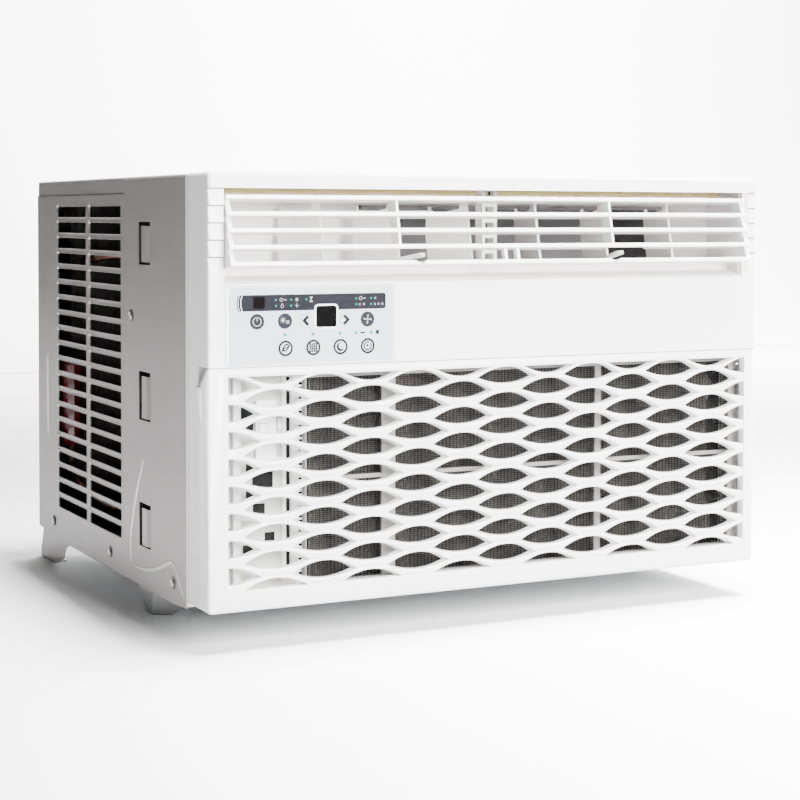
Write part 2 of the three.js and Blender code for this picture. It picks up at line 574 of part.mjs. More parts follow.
/** Louvre bank in its own frame: origin on the tilt axis, blades level. */
function louvreBank() {
  const front = -BANK_PIVOT_Y - BANK_PROUD;
  const back = front + BLADE_CHORD;
  const endX = OUTLET_SIDE - BANK_GAP;
  const low = (k) => BANK_TOP - k * BANK_PITCH;
  const bladeSection = (z) => outline([
    [front, z + 0.6], [front, z + BLADE_T - 0.5], [front + 0.8, z + BLADE_T], [back - 1, z + 0.75 * BLADE_T],
    [back, z + 0.55 * BLADE_T], [back - 1, z + 0.3 * BLADE_T], [front + 0.6, z],
  ]);
  const pieces = [];
  for (let k = 0; k < STEP_COUNT; k += 1) {
    pieces.push(prismX(bladeSection(low(k)), -endX, endX));
  }
  const side = [[-4, 4], [front + BANK_TOOTH, low(0) + BLADE_T - 1]];
  for (let k = 1; k < STEP_COUNT; k += 1) {
    side.push([front + BANK_TOOTH, low(k - 1)], [front + 0.3, low(k) + BLADE_T - 1]);
  }
  side.push([front + 3, low(STEP_COUNT - 1) + 0.5], [back - 1, low(STEP_COUNT - 1) + 1], [back - 1, low(0)]);
  side.push([4, -4], [5, 2], [1, 5]);
  for (const s of [-1, 1]) {
    const [a, b] = s > 0 ? [endX - BANK_END_W, endX] : [-endX, -endX + BANK_END_W];
    pieces.push(prismX(outline(side), a, b));
    const [p, q] = s > 0 ? [endX - 1, endX + BANK_GAP + 2.4] : [-endX - BANK_GAP - 2.4, -endX + 1];
    pieces.push(rod('x', BANK_PIN_R, p, q, 0, 0, 14));
    const [rib, grip] = s > 0 ? [RIB_X[1], GRIP_RIB_X[1]] : [RIB_X[0], GRIP_RIB_X[0]];
    pieces.push(block(rib - 1.2, rib + 1.2, front + 1, back - 3, low(3) + 1, low(0) + 1));
    pieces.push(block(grip - 1.5, grip + 1.5, front + 1, front + 7, low(4) + 1, low(3) + 1));
  }
  const thumbs = THUMB_X.map((x) => (
    rod('y', THUMB_R, front - 1, front + 7, x, low(4) + BLADE_T + 1.2, 12)));
  const tabReach = TAB_L + VANE_NOSE;
  const tabRooms = [VANE_X[1], VANE_X[4]].map((x) => block(x - 0.77 * tabReach, x + 0.77 * tabReach,
    front + 4, back + 1, low(3) - 1, low(3) + BLADE_T + 1));
  return cut(join(...pieces), ...thumbs, ...tabRooms);
}

/** Pivot holes of the vanes, through floor and ceiling. */
function vaneBores() {
  const lean = new THREE.Matrix4().makeRotationX(-radians(VANE_TILT));
  return VANE_X.map((x) => {
    const bore = new THREE.CylinderGeometry(VANE_PIN_R + RUN, VANE_PIN_R + RUN, DUCT_CLEAR + 30, 8);
    bore.rotateX(Math.PI / 2).translate(0, 0, DUCT_CLEAR / 2).applyMatrix4(lean);
    return solid(bore.translate(x, VANE_Y, VANE_Z));
  });
}

/** Fixed duct behind the louvres: sill, floor, ceiling, baffles and the ladder post. */
function outletFrame() {
  const x0 = OUTLET_SIDE + 0.6;
  const y0 = PANEL_WALL + GAP;
  const sill = OUTLET_LOW + SILL_RISE;
  const lip = SILL_BACK + 2.4;
  const floor = outline([
    [y0, OUTLET_LOW + 0.5], [SILL_BACK, sill], [SILL_BACK + 0.5, sill + SILL_WALL_H], [lip, sill + SILL_WALL_H],
    [lip, ductLine(lip, 0)], [DUCT_BACK, ductLine(DUCT_BACK, 0)], [DUCT_BACK, ductLine(DUCT_BACK, -DUCT_WALL)],
    [lip, ductLine(lip, -DUCT_WALL)], [lip - 1, sill - DUCT_WALL], [y0, OUTLET_LOW - DUCT_WALL + 0.5],
  ]);
  const hood = VANE_Y + 6.7;
  const hoodTop = PANEL_H - PANEL_WALL - GAP;
  const ceiling = outline([
    [hood, ceilingLine(hood)], [DUCT_BACK, ceilingLine(DUCT_BACK)],
    [DUCT_BACK, ceilingLine(DUCT_BACK) + DUCT_WALL],
    [hood + DUCT_WALL, ceilingLine(hood + DUCT_WALL) + DUCT_WALL],
    [hood + DUCT_WALL, hoodTop], [hood, hoodTop],
  ]);
  const envelope = prismX(outline([
    [y0, OUTLET_LOW - 1.5], [lip, sill - 1.5], [DUCT_BACK, ductLine(DUCT_BACK, -1)],
    [DUCT_BACK, ceilingLine(DUCT_BACK) + 1], [hood + 1, ceilingLine(hood + 1) + 1],
    [hood + 1, hoodTop], [y0, hoodTop],
  ]), -WIDTH, WIDTH);
  const w = DUCT_WALL;
  const leftWall = prismZ(outline([
    [-x0, y0], [-x0, BAFFLE_LEFT], [DUCT_LEFT, DUCT_BACK - w], [DUCT_LEFT, DUCT_BACK], [DUCT_LEFT - w, DUCT_BACK],
    [-x0 - w, BAFFLE_LEFT + w], [-x0 - w, y0],
  ]), OUTLET_LOW - 20, PANEL_H);
  const rightWall = prismZ(outline([
    [x0, y0], [x0 + w, y0], [x0 + w, BAFFLE_RIGHT + w / 2], [DUCT_RIGHT + w, DUCT_BACK], [DUCT_RIGHT, DUCT_BACK],
    [x0, BAFFLE_RIGHT],
  ]), OUTLET_LOW - 20, PANEL_H);
  const pins = rod('x', BANK_PIN_R + RUN, -HALF, HALF, BANK_PIVOT_Y, BANK_PIVOT_Z, 14);
  const dots = VANE_X.map((x) => rod('y', 1.6, SILL_BACK - 3, SILL_BACK + 1.6, x - 4, sill + 1.9, 6));
  const splay = prismZ(outline([
    [OUTLET_SIDE - GAP, FLARE_D + 1 + GAP], [OUTLET_SIDE - GAP, FLARE_D - GAP],
    [OUTLET_SIDE + OUTLET_FLARE, -1], [HALF, -1], [HALF, FLARE_D + 1 + GAP],
  ]), OUTLET_LOW - 5, PANEL_H);
  const body = join(prismX(floor, -x0 - w, x0 + w), prismX(ceiling, -x0 - w, x0 + w),
    leftWall.intersect(envelope), rightWall.intersect(envelope), ladderPost(sill, hoodTop));
  return cut(body, pins, ...vaneBores(), ...dots, behindDuct(), splay);
}

/** Corners of the floor and ceiling outside the baffles are trimmed away. */
function behindDuct() {
  const w = DUCT_WALL;
  const x0 = OUTLET_SIDE + 0.6;
  const left = prismZ(outline([
    [-HALF, BAFFLE_LEFT + w], [-x0 - w, BAFFLE_LEFT + w], [DUCT_LEFT - w, DUCT_BACK], [DUCT_LEFT - w, DUCT_BACK + 5],
    [-HALF, DUCT_BACK + 5],
  ]), OUTLET_LOW - 40, PANEL_H + 5);
  const right = prismZ(outline([
    [HALF, BAFFLE_RIGHT + w / 2], [x0 + w, BAFFLE_RIGHT + w / 2], [DUCT_RIGHT + w, DUCT_BACK],
    [DUCT_RIGHT + w, DUCT_BACK + 5], [HALF, DUCT_BACK + 5],
  ]), OUTLET_LOW - 40, PANEL_H + 5);
  return join(left, right);
}

/** Ladder-like post in the middle of the outlet. */
function ladderPost(sill, top) {
  const post = block(-POST_HALF, POST_HALF, POST_Y, POST_Y + POST_D, sill - 1, top);
  const windows = [];
  for (let z = sill + 6.9; z + POST_PITCH < top - 8; z += POST_PITCH) {
    windows.push(block(-POST_HALF + POST_RAIL, POST_HALF - POST_RAIL, POST_Y - 1, POST_Y + POST_D + 1,
      z, z + POST_PITCH - POST_RUNG));
  }
  const cap = block(-POST_HALF, POST_HALF, POST_Y, VANE_Y + 8, top - 3, top);
  return join(cut(post, ...windows), cap);
}

/** Foam strip on the hood of the outlet, notched around the post's cap. */
function outletSeal() {
  const back = VANE_Y + 6.7 - GAP;
  const top = PANEL_H - PANEL_WALL - GAP;
  const reach = OUTLET_SIDE - BANK_GAP - BANK_END_W - 1.5;
  return cut(block(-reach, reach, back - SEAL_T, back, SEAL_LOW, top - 4),
    block(-POST_HALF - GAP, POST_HALF + 3.6, back - SEAL_T - 1, POST_Y + POST_D + GAP, SEAL_LOW - 1, top));
}

/** Vane in its own frame: origin on the pivot at the duct floor, plate pointing back along y. */
function vane(leads) {
  const nose = -VANE_NOSE;
  const tail = VANE_CHORD - VANE_NOSE;
  const top = DUCT_CLEAR - 1.5;
  const plate = outline([
    [nose, VANE_LIFT], [tail, VANE_LIFT], [tail, 0.65 * VANE_H], [tail - 3, VANE_H], [nose + VANE_EAR_W, VANE_H],
    [nose + VANE_EAR_W - 2, top], [nose, top],
  ]);
  const pieces = [
    prismX(plate, -VANE_T / 2, VANE_T / 2),
    rod('z', VANE_PIN_R, -DUCT_WALL - 0.4, VANE_LIFT + 1, 0, 0, 8),
    rod('z', VANE_PIN_R, top - 1, DUCT_CLEAR + DUCT_WALL + 1.2, 0, 0, 8),
    rod('z', LINK_PIN_R, VANE_H - 3, VANE_H + LINK_PIN_H, 0, LINK_BACK, 8),
  ];
  if (leads) {
    const shape = new THREE.Shape();
    const r = TAB_W / 2;
    shape.moveTo(-r * 0.6, nose + 6);
    shape.lineTo(-r, -TAB_L + r + nose);
    shape.absarc(0, -TAB_L + r + nose, r, Math.PI, Math.PI * 2);
    shape.lineTo(r * 0.6, nose + 6);
    pieces.push(prismZ(shape, TAB_Z, TAB_Z + TAB_T, 4));
  }
  return join(...pieces);
}

/** Link bar in the middle vane's frame: one eye over each vane's link pin. */
function linkBar(offsets) {
  const [first, last] = [offsets[0], offsets[offsets.length - 1]];
  const z0 = VANE_H + 1;
  const shape = roundedRect((first + last) / 2, 0, last - first + LINK_W, LINK_W, LINK_W / 2 - 0.5);
  const bores = offsets.map((x) => rod('z', LINK_PIN_R + RUN, z0 - 1, z0 + LINK_T + 1, x, 0, 8));
  return cut(prismZ(shape, z0, z0 + LINK_T, 2), ...bores);
}

// ---------------------------------------------------------------- control panel
/** Holes for the keys and windows of the control panel, grown by a clearance. */
function facePorts(grow, y0, y1) {
  const keys = Object.values(KEYS).map(({ x, z, r }) => rod('y', r + grow, y0, y1, x, z, 12));
  const windows = [DISPLAY, IR_WINDOW].map(({ x, z, w, h, corner }) => (
    prismY(roundedRect(x, z, w + 2 * grow, h + 2 * grow, corner), y0, y1)));
  return [...keys, ...windows];
}

function controlInsert() {
  const plate = block(INSERT_LEFT + GAP, INSERT_RIGHT - GAP, 0.1, PANEL_WALL, INSERT_LOW + GAP, INSERT_HIGH - GAP);
  const recess = block(OVERLAY_LEFT - GAP, OVERLAY_RIGHT + GAP, -1, OVERLAY_T + GAP,
    OVERLAY_LOW - GAP, OVERLAY_HIGH + GAP);
  const tray = block(INSERT_LEFT + 3, INSERT_RIGHT - 3, 1, INSERT_D, INSERT_LOW + 3, INSERT_HIGH - 3);
  const hollow = block(INSERT_LEFT + 5, INSERT_RIGHT - 5, PANEL_WALL, INSERT_D + 1, INSERT_LOW + 5, INSERT_HIGH - 5);
  const window = block(OVERLAY_LEFT + 4, OVERLAY_RIGHT - 4, -1, PANEL_WALL + 1, OVERLAY_LOW + 3, OVERLAY_HIGH - 3);
  return cut(join(plate, tray), recess, hollow, window);
}

function controlOverlay() {
  const sheet = prismY(roundedRect((OVERLAY_LEFT + OVERLAY_RIGHT) / 2, (OVERLAY_LOW + OVERLAY_HIGH) / 2,
    OVERLAY_RIGHT - OVERLAY_LEFT, OVERLAY_HIGH - OVERLAY_LOW, 1), 0, OVERLAY_T, 1);
  return cut(sheet, ...facePorts(0.25, -1, OVERLAY_T + 1));
}

function controlBoard() {
  const [y0, y1] = [KEY_D + KEY_TRAVEL + 1.2, KEY_D + KEY_TRAVEL + 2.8];
  const inset = 5 + GAP;
  const board = block(INSERT_LEFT + inset, INSERT_RIGHT - inset, y0, y1, INSERT_LOW + inset, INSERT_HIGH - inset);
  const switches = Object.values(KEYS).map(({ x, z }) => block(x - 3, x + 3, y0 - 1, y0 + 0.5, z - 3, z + 3));
  return join(board, ...switches);
}

/** Clear window in the overlay with a backing that reaches towards the board. */
function panelWindow({ x, z, w, h, corner }) {
  return prismY(roundedRect(x, z, w, h, corner), 0, KEY_D);
}

// ---------------------------------------------------------------- cabinet
/** Outline of one side sheet below the body: the rear leg. */
function rearLeg(side) {
  const shape = new THREE.Shape();
  const [base, d] = [-LEG_H, DEPTH];
  shape.moveTo(d - 126, 2);
  shape.lineTo(d - 126, -SKIRT_DROP);
  shape.quadraticCurveTo(d - 107, -SKIRT_DROP - 2, d - 104, -16);
  shape.quadraticCurveTo(d - 99, base + 8, d - 80, base + 4);
  shape.quadraticCurveTo(d - 62, base, d - 46, base);
  shape.lineTo(LEG_BACK - 3, base);
  shape.quadraticCurveTo(LEG_BACK, base, LEG_BACK, base + 3);
  shape.lineTo(LEG_BACK, base + 10);
  shape.lineTo(LEG_NOTCH, -2);
  shape.lineTo(LEG_NOTCH, 2);
  const [a, b] = [HALF - SHEET, HALF];
  const sheet = side > 0 ? prismX(shape, a, b, 4) : prismX(shape, -b, -a, 4);
  const [p, q] = side > 0 ? [HALF - FOOT_FLANGE, HALF - SHEET / 2] : [-HALF + SHEET / 2, -HALF + FOOT_FLANGE];
  return join(sheet, block(p, q, d - 54, d - 14, base, base + 1.5));
}

/** Lower edge of both side sheets: sloped behind the moulded front, higher at the rear corner. */
function skirtTrim() {
  const low = -SKIRT_DROP;
  const front = prismX(outline([
    [PANEL_D - 2, low - 2], [PANEL_D - 2, -4.6], [PANEL_D + 6, -5], [PANEL_D + 40, low], [PANEL_D + 40, low - 2],
  ]), -WIDTH, WIDTH);
  return join(front, block(-WIDTH, WIDTH, LEG_NOTCH, DEPTH + 1, low - 1, -2));
}

/** Slots of both side sheets, cut straight across the cabinet. */
function sideSlots() {
  const slots = [];
  for (const [front, back] of SLOT_COLUMNS) {
    for (let row = 0; row < SLOT_ROWS; row += 1) {
      const z = SLOT_TOP - row * SLOT_PITCH;
      slots.push(block(-HALF - 5, HALF + 5, front, back, z - SLOT_H / 2, z + SLOT_H / 2));
    }
  }
  return slots;
}

/** Window of one lanced hook and the tab that is pressed outwards from it. */
function lance(side, low, high) {
  const hole = block(-HALF - 5, HALF + 5, LANCE_FRONT, LANCE_BACK, low, high);
  const out = HALF + LANCE_OUT;
  const section = [
    [HALF - SHEET, LANCE_FRONT - 2], [HALF, LANCE_FRONT - 2], [out, LANCE_FRONT + 5], [out, LANCE_FRONT + LANCE_TAB],
    [out - SHEET, LANCE_FRONT + LANCE_TAB], [out - SHEET, LANCE_FRONT + 5.5],
  ];
  const tab = prismZ(outline(section.map(([x, y]) => [side * x, y])), low + LANCE_SLIT, high - 1.5 * LANCE_SLIT);
  return { hole, tab };
}

/** Joggled band along the top of each side: the sheet set in, and the cutter of what stood there. */
function joggle(side) {
  const [out, low, high] = [HALF - JOGGLE_IN, CABINET_TOP - JOGGLE_H, CABINET_TOP];
  const [a, b] = [out - SHEET, HALF - SHEET + 0.2];
  const [p, q] = side > 0 ? [a, b] : [-b, -a];
  const set = block(p, q, JOGGLE_FRONT - 1.2, DEPTH - 0.5, low - 1, high - 2.2);
  const cutter = prismY(outline([
    [out, low + 1.6], [HALF + 1, low - 1], [HALF + 1, high + 1], [out, high + 1],
  ].map(([x, z]) => [side * x, z])), JOGGLE_FRONT, DEPTH + 1);
  return { set, cutter };
}

function cabinetWrap() {
  const outer = new THREE.Shape();
  const r = CABINET_BEND;
  outer.moveTo(-HALF, -SKIRT_DROP);
  outer.lineTo(-HALF, CABINET_TOP - r);
  outer.absarc(-HALF + r, CABINET_TOP - r, r, Math.PI, Math.PI / 2, true);
  outer.lineTo(HALF - r, CABINET_TOP);
  outer.absarc(HALF - r, CABINET_TOP - r, r, Math.PI / 2, 0, true);
  outer.lineTo(HALF, -SKIRT_DROP);
  outer.lineTo(HALF - SHEET, -SKIRT_DROP);
  outer.lineTo(HALF - SHEET, CABINET_TOP - r);
  outer.absarc(HALF - r, CABINET_TOP - r, r - SHEET, 0, Math.PI / 2);
  outer.lineTo(-HALF + r, CABINET_TOP - SHEET);
  outer.absarc(-HALF + r, CABINET_TOP - r, r - SHEET, Math.PI / 2, Math.PI);
  outer.lineTo(-HALF + SHEET, -SKIRT_DROP);
  const wrap = prismY(outer, PANEL_D + GAP, DEPTH, 4);
  const rear = cut(
    block(-HALF + 1, HALF - 1, DEPTH - SHEET, DEPTH, REAR_SILL, CABINET_TOP - 1),
    block(-HALF + REAR_FLANGE, HALF - REAR_FLANGE, DEPTH - 2, DEPTH + 1, -10, CABINET_TOP - REAR_FLANGE));
  const hooks = [];
  for (const [low, high] of LANCES) {
    hooks.push(lance(-1, low, high), lance(1, low, high));
  }
  const bands = [joggle(-1), joggle(1)];
  const bare = join(cut(wrap, skirtTrim()), rear, rearLeg(-1), rearLeg(1), ...bands.map(({ set }) => set));
  const open = cut(bare, ...bands.map(({ cutter }) => cutter), ...sideSlots(), ...hooks.map(({ hole }) => hole));
  return join(open, ...hooks.map(({ tab }) => tab));
}

function basePan() {
  const half = CABINET_INNER;
  const top = PAN_H - PAN_DROP;
  const back = DEPTH - SHEET - GAP;
  const tray = cut(
    block(-half, half, PAN_FRONT, back, -PAN_DROP, top),
    block(-half + PAN_SHEET, half - PAN_SHEET, PAN_FRONT + PAN_SHEET, back - PAN_SHEET,
      -PAN_DROP + PAN_SHEET, top + 1),
    block(-half + PAN_SHEET, half - PAN_SHEET, PAN_FRONT - 1, PAN_FRONT + PAN_SHEET + 1, TOE_FLOOR - GAP, top + 1));
  const toeHalf = INNER_HALF - PANEL_CORNER;
  const toeLow = PANEL_WALL + GAP;
  const toe = cut(
    block(-toeHalf, toeHalf, PAN_TOE, PAN_FRONT + PAN_SHEET, toeLow, toeLow + PAN_TOE_H),
    block(-toeHalf - 1, toeHalf + 1, PAN_TOE + PAN_SHEET, PAN_FRONT + PAN_SHEET + 1, toeLow + PAN_SHEET, top));
  return cut(join(tray, toe), rod('z', GLAND_R + 5, -1, toeLow + 3, GLAND_X, GLAND_Y, 10));
}

/** Folded front foot: side web, oblique front flange, sole and a flange against the pan. */
function frontFoot(side) {
  const [x, y, top, base] = [-FOOT_X, FOOT_Y, -PAN_DROP - GAP, -LEG_H];
  const web = prismX(outline([[y, top], [y + 49, top], [y + 19, base], [y, base]]), x, x + FOOT_SHEET);
  const flange = prismX(outline([[0, base], [19, base], [29, base + 9], [29, top], [0, top]]), 0, FOOT_SHEET)
    .rotate([0, 0, -180 + FOOT_TURN]).translate([x + 1.6, y + 1.6, 0]);
  const sole = prismZ(outline([
    [x + 0.4, y + 19], [x + 0.4, y + 0.6], [x + 17, y - 9.2], [x + 24, y + 2], [x + 24, y + 19],
  ]), base, base + FOOT_SHEET);
  const head = block(x + 0.5, x + 26, y - 5, y + 45, top - FOOT_SHEET, top);
  const foot = join(web, flange, sole, head);
  return side > 0 ? foot.mirror([1, 0, 0]) : foot;
}

// ---------------------------------------------------------------- air path and fans
/** Rear edge of a coil's plan from right to left, with its bundles of fins standing proud. */
function finRibs(right, left, back, ribs) {
  const points = [[right, back]];
  const pitch = (right - left) / (ribs + 0.5);
  for (let k = 0; k < ribs; k += 1) {
    const a = right - (k + 0.5) * pitch;
    points.push([a, back], [a, back + FIN_RIB], [a - pitch / 2, back + FIN_RIB], [a - pitch / 2, back]);
  }
  return [...points, [left, back]];
}

/** Finned coil with end plates and return bends. */
function coil(x0, x1, y0, y1, z0, z1, bends, ribs = 0) {
  const pitch = (z1 - z0) / bends;
  const core = prismZ(outline([[x0, y0], [x1, y0], ...finRibs(x1, x0, y1, ribs)]), z0 + 1.5, z1);
  const bendsOut = [];
  for (let k = 0; k < bends; k += 1) {
    const z = z0 + (k + 0.5) * pitch;
    const yc = (y0 + y1) / 2 + (k % 2 ? 5 : -5);
    const reach = 14;
    for (const [x, s] of [[x0, -1], [x1, 1]]) {
      bendsOut.push(pipe([
        [x - s * 6, yc, z - pitch / 5], [x + s * reach * 0.8, yc, z - pitch / 5],
        [x + s * reach * 0.8, yc, z + pitch / 5], [x - s * 6, yc, z + pitch / 5],
      ], TUBE_R, 5, 3));
    }
  }
  const plates = [x0, x1].map((x) => block(x - END_PLATE, x + END_PLATE, y0 - 2, y1 + 2, z0, z1 + 1.5));
  return join(core, ...plates, ...bendsOut);
}

/** Blower wheel: hub disc, two rings and forward-curved blades. */
function blowerWheel() {
  const [y0, y1, r] = [WHEEL_FRONT, WHEEL_FRONT + WHEEL_L, WHEEL_R];
  const disc = revolveY([[SHAFT_R + GAP, y1 - 24], [14, y1 - 24], [16, y1 - 3], [r, y1 - 3], [r, y1],
    [SHAFT_R + GAP, y1], [SHAFT_R + GAP, y1 - 24]], FAN_X, FAN_Z, 16);
  const ring = revolveY([[r - 12, y0], [r, y0], [r, y0 + 3], [r - 12, y0 + 3], [r - 12, y0]], FAN_X, FAN_Z, 16);
  const blades = [];
  for (let k = 0; k < WHEEL_BLADES; k += 1) {
    const turn = (k * 2 * Math.PI) / WHEEL_BLADES;
    const blade = new THREE.BoxGeometry(1.6, WHEEL_L - 2, 15).rotateY(0.5).translate(0, 0, r - 9);
    blade.rotateY(turn).translate(FAN_X, (y0 + y1) / 2, FAN_Z);
    blades.push(solid(blade));
  }
  return join(disc, ring, ...blades);
}

/** Axial fan with a slinger ring around its blade tips. */
function condenserFan() {
  const [y, w, r] = [CONDENSER_FAN_Y, CONDENSER_FAN_W, CONDENSER_FAN_R];
  const hub = revolveY([[SHAFT_R + GAP, y - 14], [24, y - 14], [30, y - 8], [30, y + 14], [SHAFT_R + GAP, y + 14],
    [SHAFT_R + GAP, y - 14]], FAN_X, FAN_Z, 12);
  const ring = revolveY([[r - 2, y + 4], [r, y + 4], [r, y + 14], [r - 2, y + 14], [r - 2, y + 4]],
    FAN_X, FAN_Z, 20);
  const blades = [];
  for (let k = 0; k < 5; k += 1) {
    const shape = new THREE.Shape();
    shape.moveTo(26, -16);
    shape.quadraticCurveTo(r * 0.6, -44, r - 1, -46);
    shape.lineTo(r - 1, 26);
    shape.quadraticCurveTo(r * 0.6, 38, 26, 16);
    const blade = new THREE.ExtrudeGeometry(shape, { depth: 2, bevelEnabled: false, curveSegments: 3 });
    blade.translate(0, 0, -1).rotateX(radians(22)).rotateX(-Math.PI / 2);
    blade.rotateY((k * 2 * Math.PI) / 5).translate(FAN_X, y, FAN_Z);
    blades.push(solid(blade));
  }
  const limit = rod('y', r - 0.5, y - w / 2, y + w / 2, FAN_X, FAN_Z, 20);
  return join(hub, ring, join(...blades).intersect(limit));
}

function motorShaft() {
  return rod('y', SHAFT_R, WHEEL_FRONT + 40, CONDENSER_FAN_Y + 22, FAN_X, FAN_Z, 12);
}

function fanMotor() {
  const [y0, y1, r] = [MOTOR_FRONT, MOTOR_FRONT + MOTOR_L, MOTOR_R];
  const can = revolveY([
    [SHAFT_R + RUN, y0 - 8], [16, y0 - 8], [16, y0], [r - 8, y0], [r, y0 + 8], [r, y1 - 8], [r - 8, y1],
    [SHAFT_R + RUN, y1], [SHAFT_R + RUN, y0 - 8],
  ], FAN_X, FAN_Z, 16);
  return can;
}

/** Stand of the motor: a saddle plate with two legs on the pan. */
function motorBracket() {
  const y = MOTOR_FRONT + MOTOR_L / 2;
  const floor = PAN_FLOOR;
  const web = cut(block(FAN_X - MOTOR_R - 6, FAN_X + MOTOR_R + 6, y - 22, y + 22, floor, FAN_Z - 10),
    rod('y', MOTOR_R + GAP + 0.4, y - 30, y + 30, FAN_X, FAN_Z, 16),
    block(FAN_X - MOTOR_R - 3, FAN_X + MOTOR_R + 3, y - 19, y + 19, floor - 1, FAN_Z - MOTOR_R - 6),
    block(FAN_X - 40, FAN_X + 40, y - 30, y + 30, floor - 1, 50));
  return web;
}

/** Scroll housing: volute wall, inlet plate and the throat up to the duct. */
function blowerHousing() {
  const volute = (grow) => {
    const shape = new THREE.Shape();
    const base = WHEEL_R + SCROLL_GAP + grow;
    const lid = HOUSING_TOP - HOUSING_WALL + grow;
    shape.moveTo(DUCT_RIGHT - HOUSING_WALL + grow, lid);
    shape.lineTo(DUCT_RIGHT - HOUSING_WALL + grow, FAN_Z + 0.65 * WHEEL_R);
    for (let k = 0; k <= 14; k += 1) {
      const a = -0.12 * Math.PI - (k / 14) * 1.12 * Math.PI;
      const r = base + SCROLL_GROWTH * (1 - k / 14);
      shape.lineTo(FAN_X + r * Math.cos(a), FAN_Z + r * Math.sin(a));
    }
    shape.lineTo(DUCT_LEFT + 2 * HOUSING_WALL - grow, FAN_Z + 1.52 * WHEEL_R);
    shape.lineTo(DUCT_LEFT + 2 * HOUSING_WALL - grow, lid);
    return shape;
  };
  const [y0, y1] = [SCROLL_FRONT, BULKHEAD_Y - GAP];
  const body = prismY(volute(HOUSING_WALL), y0, y1);
  const hollow = prismY(volute(0), y0 + 3, y1 - 3);
  const inlet = rod('y', WHEEL_R - 10, y0 - 1, y0 + 5, FAN_X, FAN_Z, 16);
  const throat = block(DUCT_LEFT + 14, DUCT_RIGHT - 10, y0 - 1, y0 + 5,
    ductLine(DUCT_BACK, 0) + 4, ceilingLine(DUCT_BACK) - 4);
  const shaftHole = rod('y', 20, y1 - 5, y1 + 1, FAN_X, FAN_Z, 16);
  return cut(body, hollow, inlet, throat, shaftHole);
}

function bulkhead() {
  const half = CABINET_INNER - PAN_SHEET - GAP;
  const plate = block(-half, half, BULKHEAD_Y, BULKHEAD_Y + 1.2, PAN_FLOOR, CABINET_TOP - 3);
  const holes = [[20, FAN_X, FAN_Z], [9, SUCTION_X, SUCTION_Z], [8, LIQUID_X, LIQUID_Z]];
  return cut(plate, ...holes.map(([r, x, z]) => rod('y', r, BULKHEAD_Y - 2, BULKHEAD_Y + 4, x, z, 12)));
}

/** Plenum between the condenser and its fan, with a flared ring. */
function fanShroud() {
  const [l, r, low, high] = [SHROUD_LEFT, SHROUD_RIGHT, PAN_FLOOR, SHROUD_TOP];
  const back = COIL_FRONT - 2 - GAP;
  const box = cut(block(l, r, SHROUD_FRONT, back, low, high),
    block(l + 2, r - 2, SHROUD_FRONT + 2, COIL_FRONT, low + 2, high - 2),
    rod('y', CONDENSER_FAN_R + 4, SHROUD_FRONT - 2, SHROUD_FRONT + 4, FAN_X, FAN_Z, 20));
  const c = CONDENSER_FAN_R + 4;
  const flare = revolveY([[c, SHROUD_FRONT + 1], [c, SHROUD_FRONT - 26], [c + 4, SHROUD_FRONT - 30],
    [c + 2.5, SHROUD_FRONT - 24], [c + 2.5, SHROUD_FRONT + 1], [c, SHROUD_FRONT + 1]],
  FAN_X, FAN_Z, 20);
  return join(box, flare);
}

// ---------------------------------------------------------------- refrigeration set
function compressor() {
  const z0 = COMPRESSOR_BASE;
  const r = COMPRESSOR_R;
  const shell = revolveZ([
    [0, z0], [r * 0.8, z0], [r, z0 + 14], [r, z0 + COMPRESSOR_H - 22], [r * 0.82, z0 + COMPRESSOR_H - 6],
    [r * 0.4, z0 + COMPRESSOR_H], [0, z0 + COMPRESSOR_H],
  ], COMPRESSOR_X, COMPRESSOR_Y, 16);
  const feet = [0, 1, 2].map((k) => {
    const turn = Math.PI / 2 + (k * 2 * Math.PI) / 3;
    const foot = new THREE.BoxGeometry(32, r + 16, 3).translate(0, (r + 16) / 2, 0).rotateZ(turn - Math.PI / 2);
    return solid(foot.translate(COMPRESSOR_X, COMPRESSOR_Y, z0 + 4));
  });
  const terminal = rod('z', 16, z0 + COMPRESSOR_H - 8, z0 + COMPRESSOR_H + 16, COMPRESSOR_X, COMPRESSOR_Y, 10);
  const ports = [-34, 36].map((dx) => (
    rod('z', TUBE_R + 2.5, z0 + COMPRESSOR_H - 10, z0 + COMPRESSOR_H + 4, COMPRESSOR_X + dx, COMPRESSOR_Y, 8)));
  return join(shell, terminal, ...ports, ...feet);
}

/** Rubber mount under one compressor foot. */
function grommet(k) {
  const turn = Math.PI / 2 + (k * 2 * Math.PI) / 3;
  const reach = COMPRESSOR_R + 7;
  const [x, y] = [COMPRESSOR_X + reach * Math.cos(turn), COMPRESSOR_Y + reach * Math.sin(turn)];
  const floor = PAN_FLOOR;
  const top = COMPRESSOR_BASE + 4 - 1.5 - GAP;
  return revolveZ([[0, floor], [11, floor], [11, floor + 5], [7, floor + 8], [9, top], [0, top]], x, y, 10);
}

/** Upright liquid receiver in the left rear corner. */
function receiver() {
  const [r, low, high] = [RECEIVER_R, RECEIVER_LOW, RECEIVER_LOW + RECEIVER_H];
  return revolveZ([[0, low], [r * 0.5, low], [r, low + 8], [r, high - 8], [r * 0.5, high], [0, high]],
    RECEIVER_X, RECEIVER_Y, 12);
}

function dischargeTube() {
  const [x, y, z] = [COMPRESSOR_X + 36, COMPRESSOR_Y, COMPRESSOR_TOP + 4 + GAP];
  const [inlet, face] = [-CONDENSER_SIDE + 14, COIL_FRONT - GAP];
  return pipe([[x, y, z], [x, y, z + 30], [x - 20, y + 40, z + 62], [x - 70, y + 80, z + 70],
    [inlet, face - 40, z + 66], [inlet, face - 22, z + 62], [inlet, face - 10, z + 62],
    [inlet, face, z + 62]], TUBE_R, 20, 3);
}

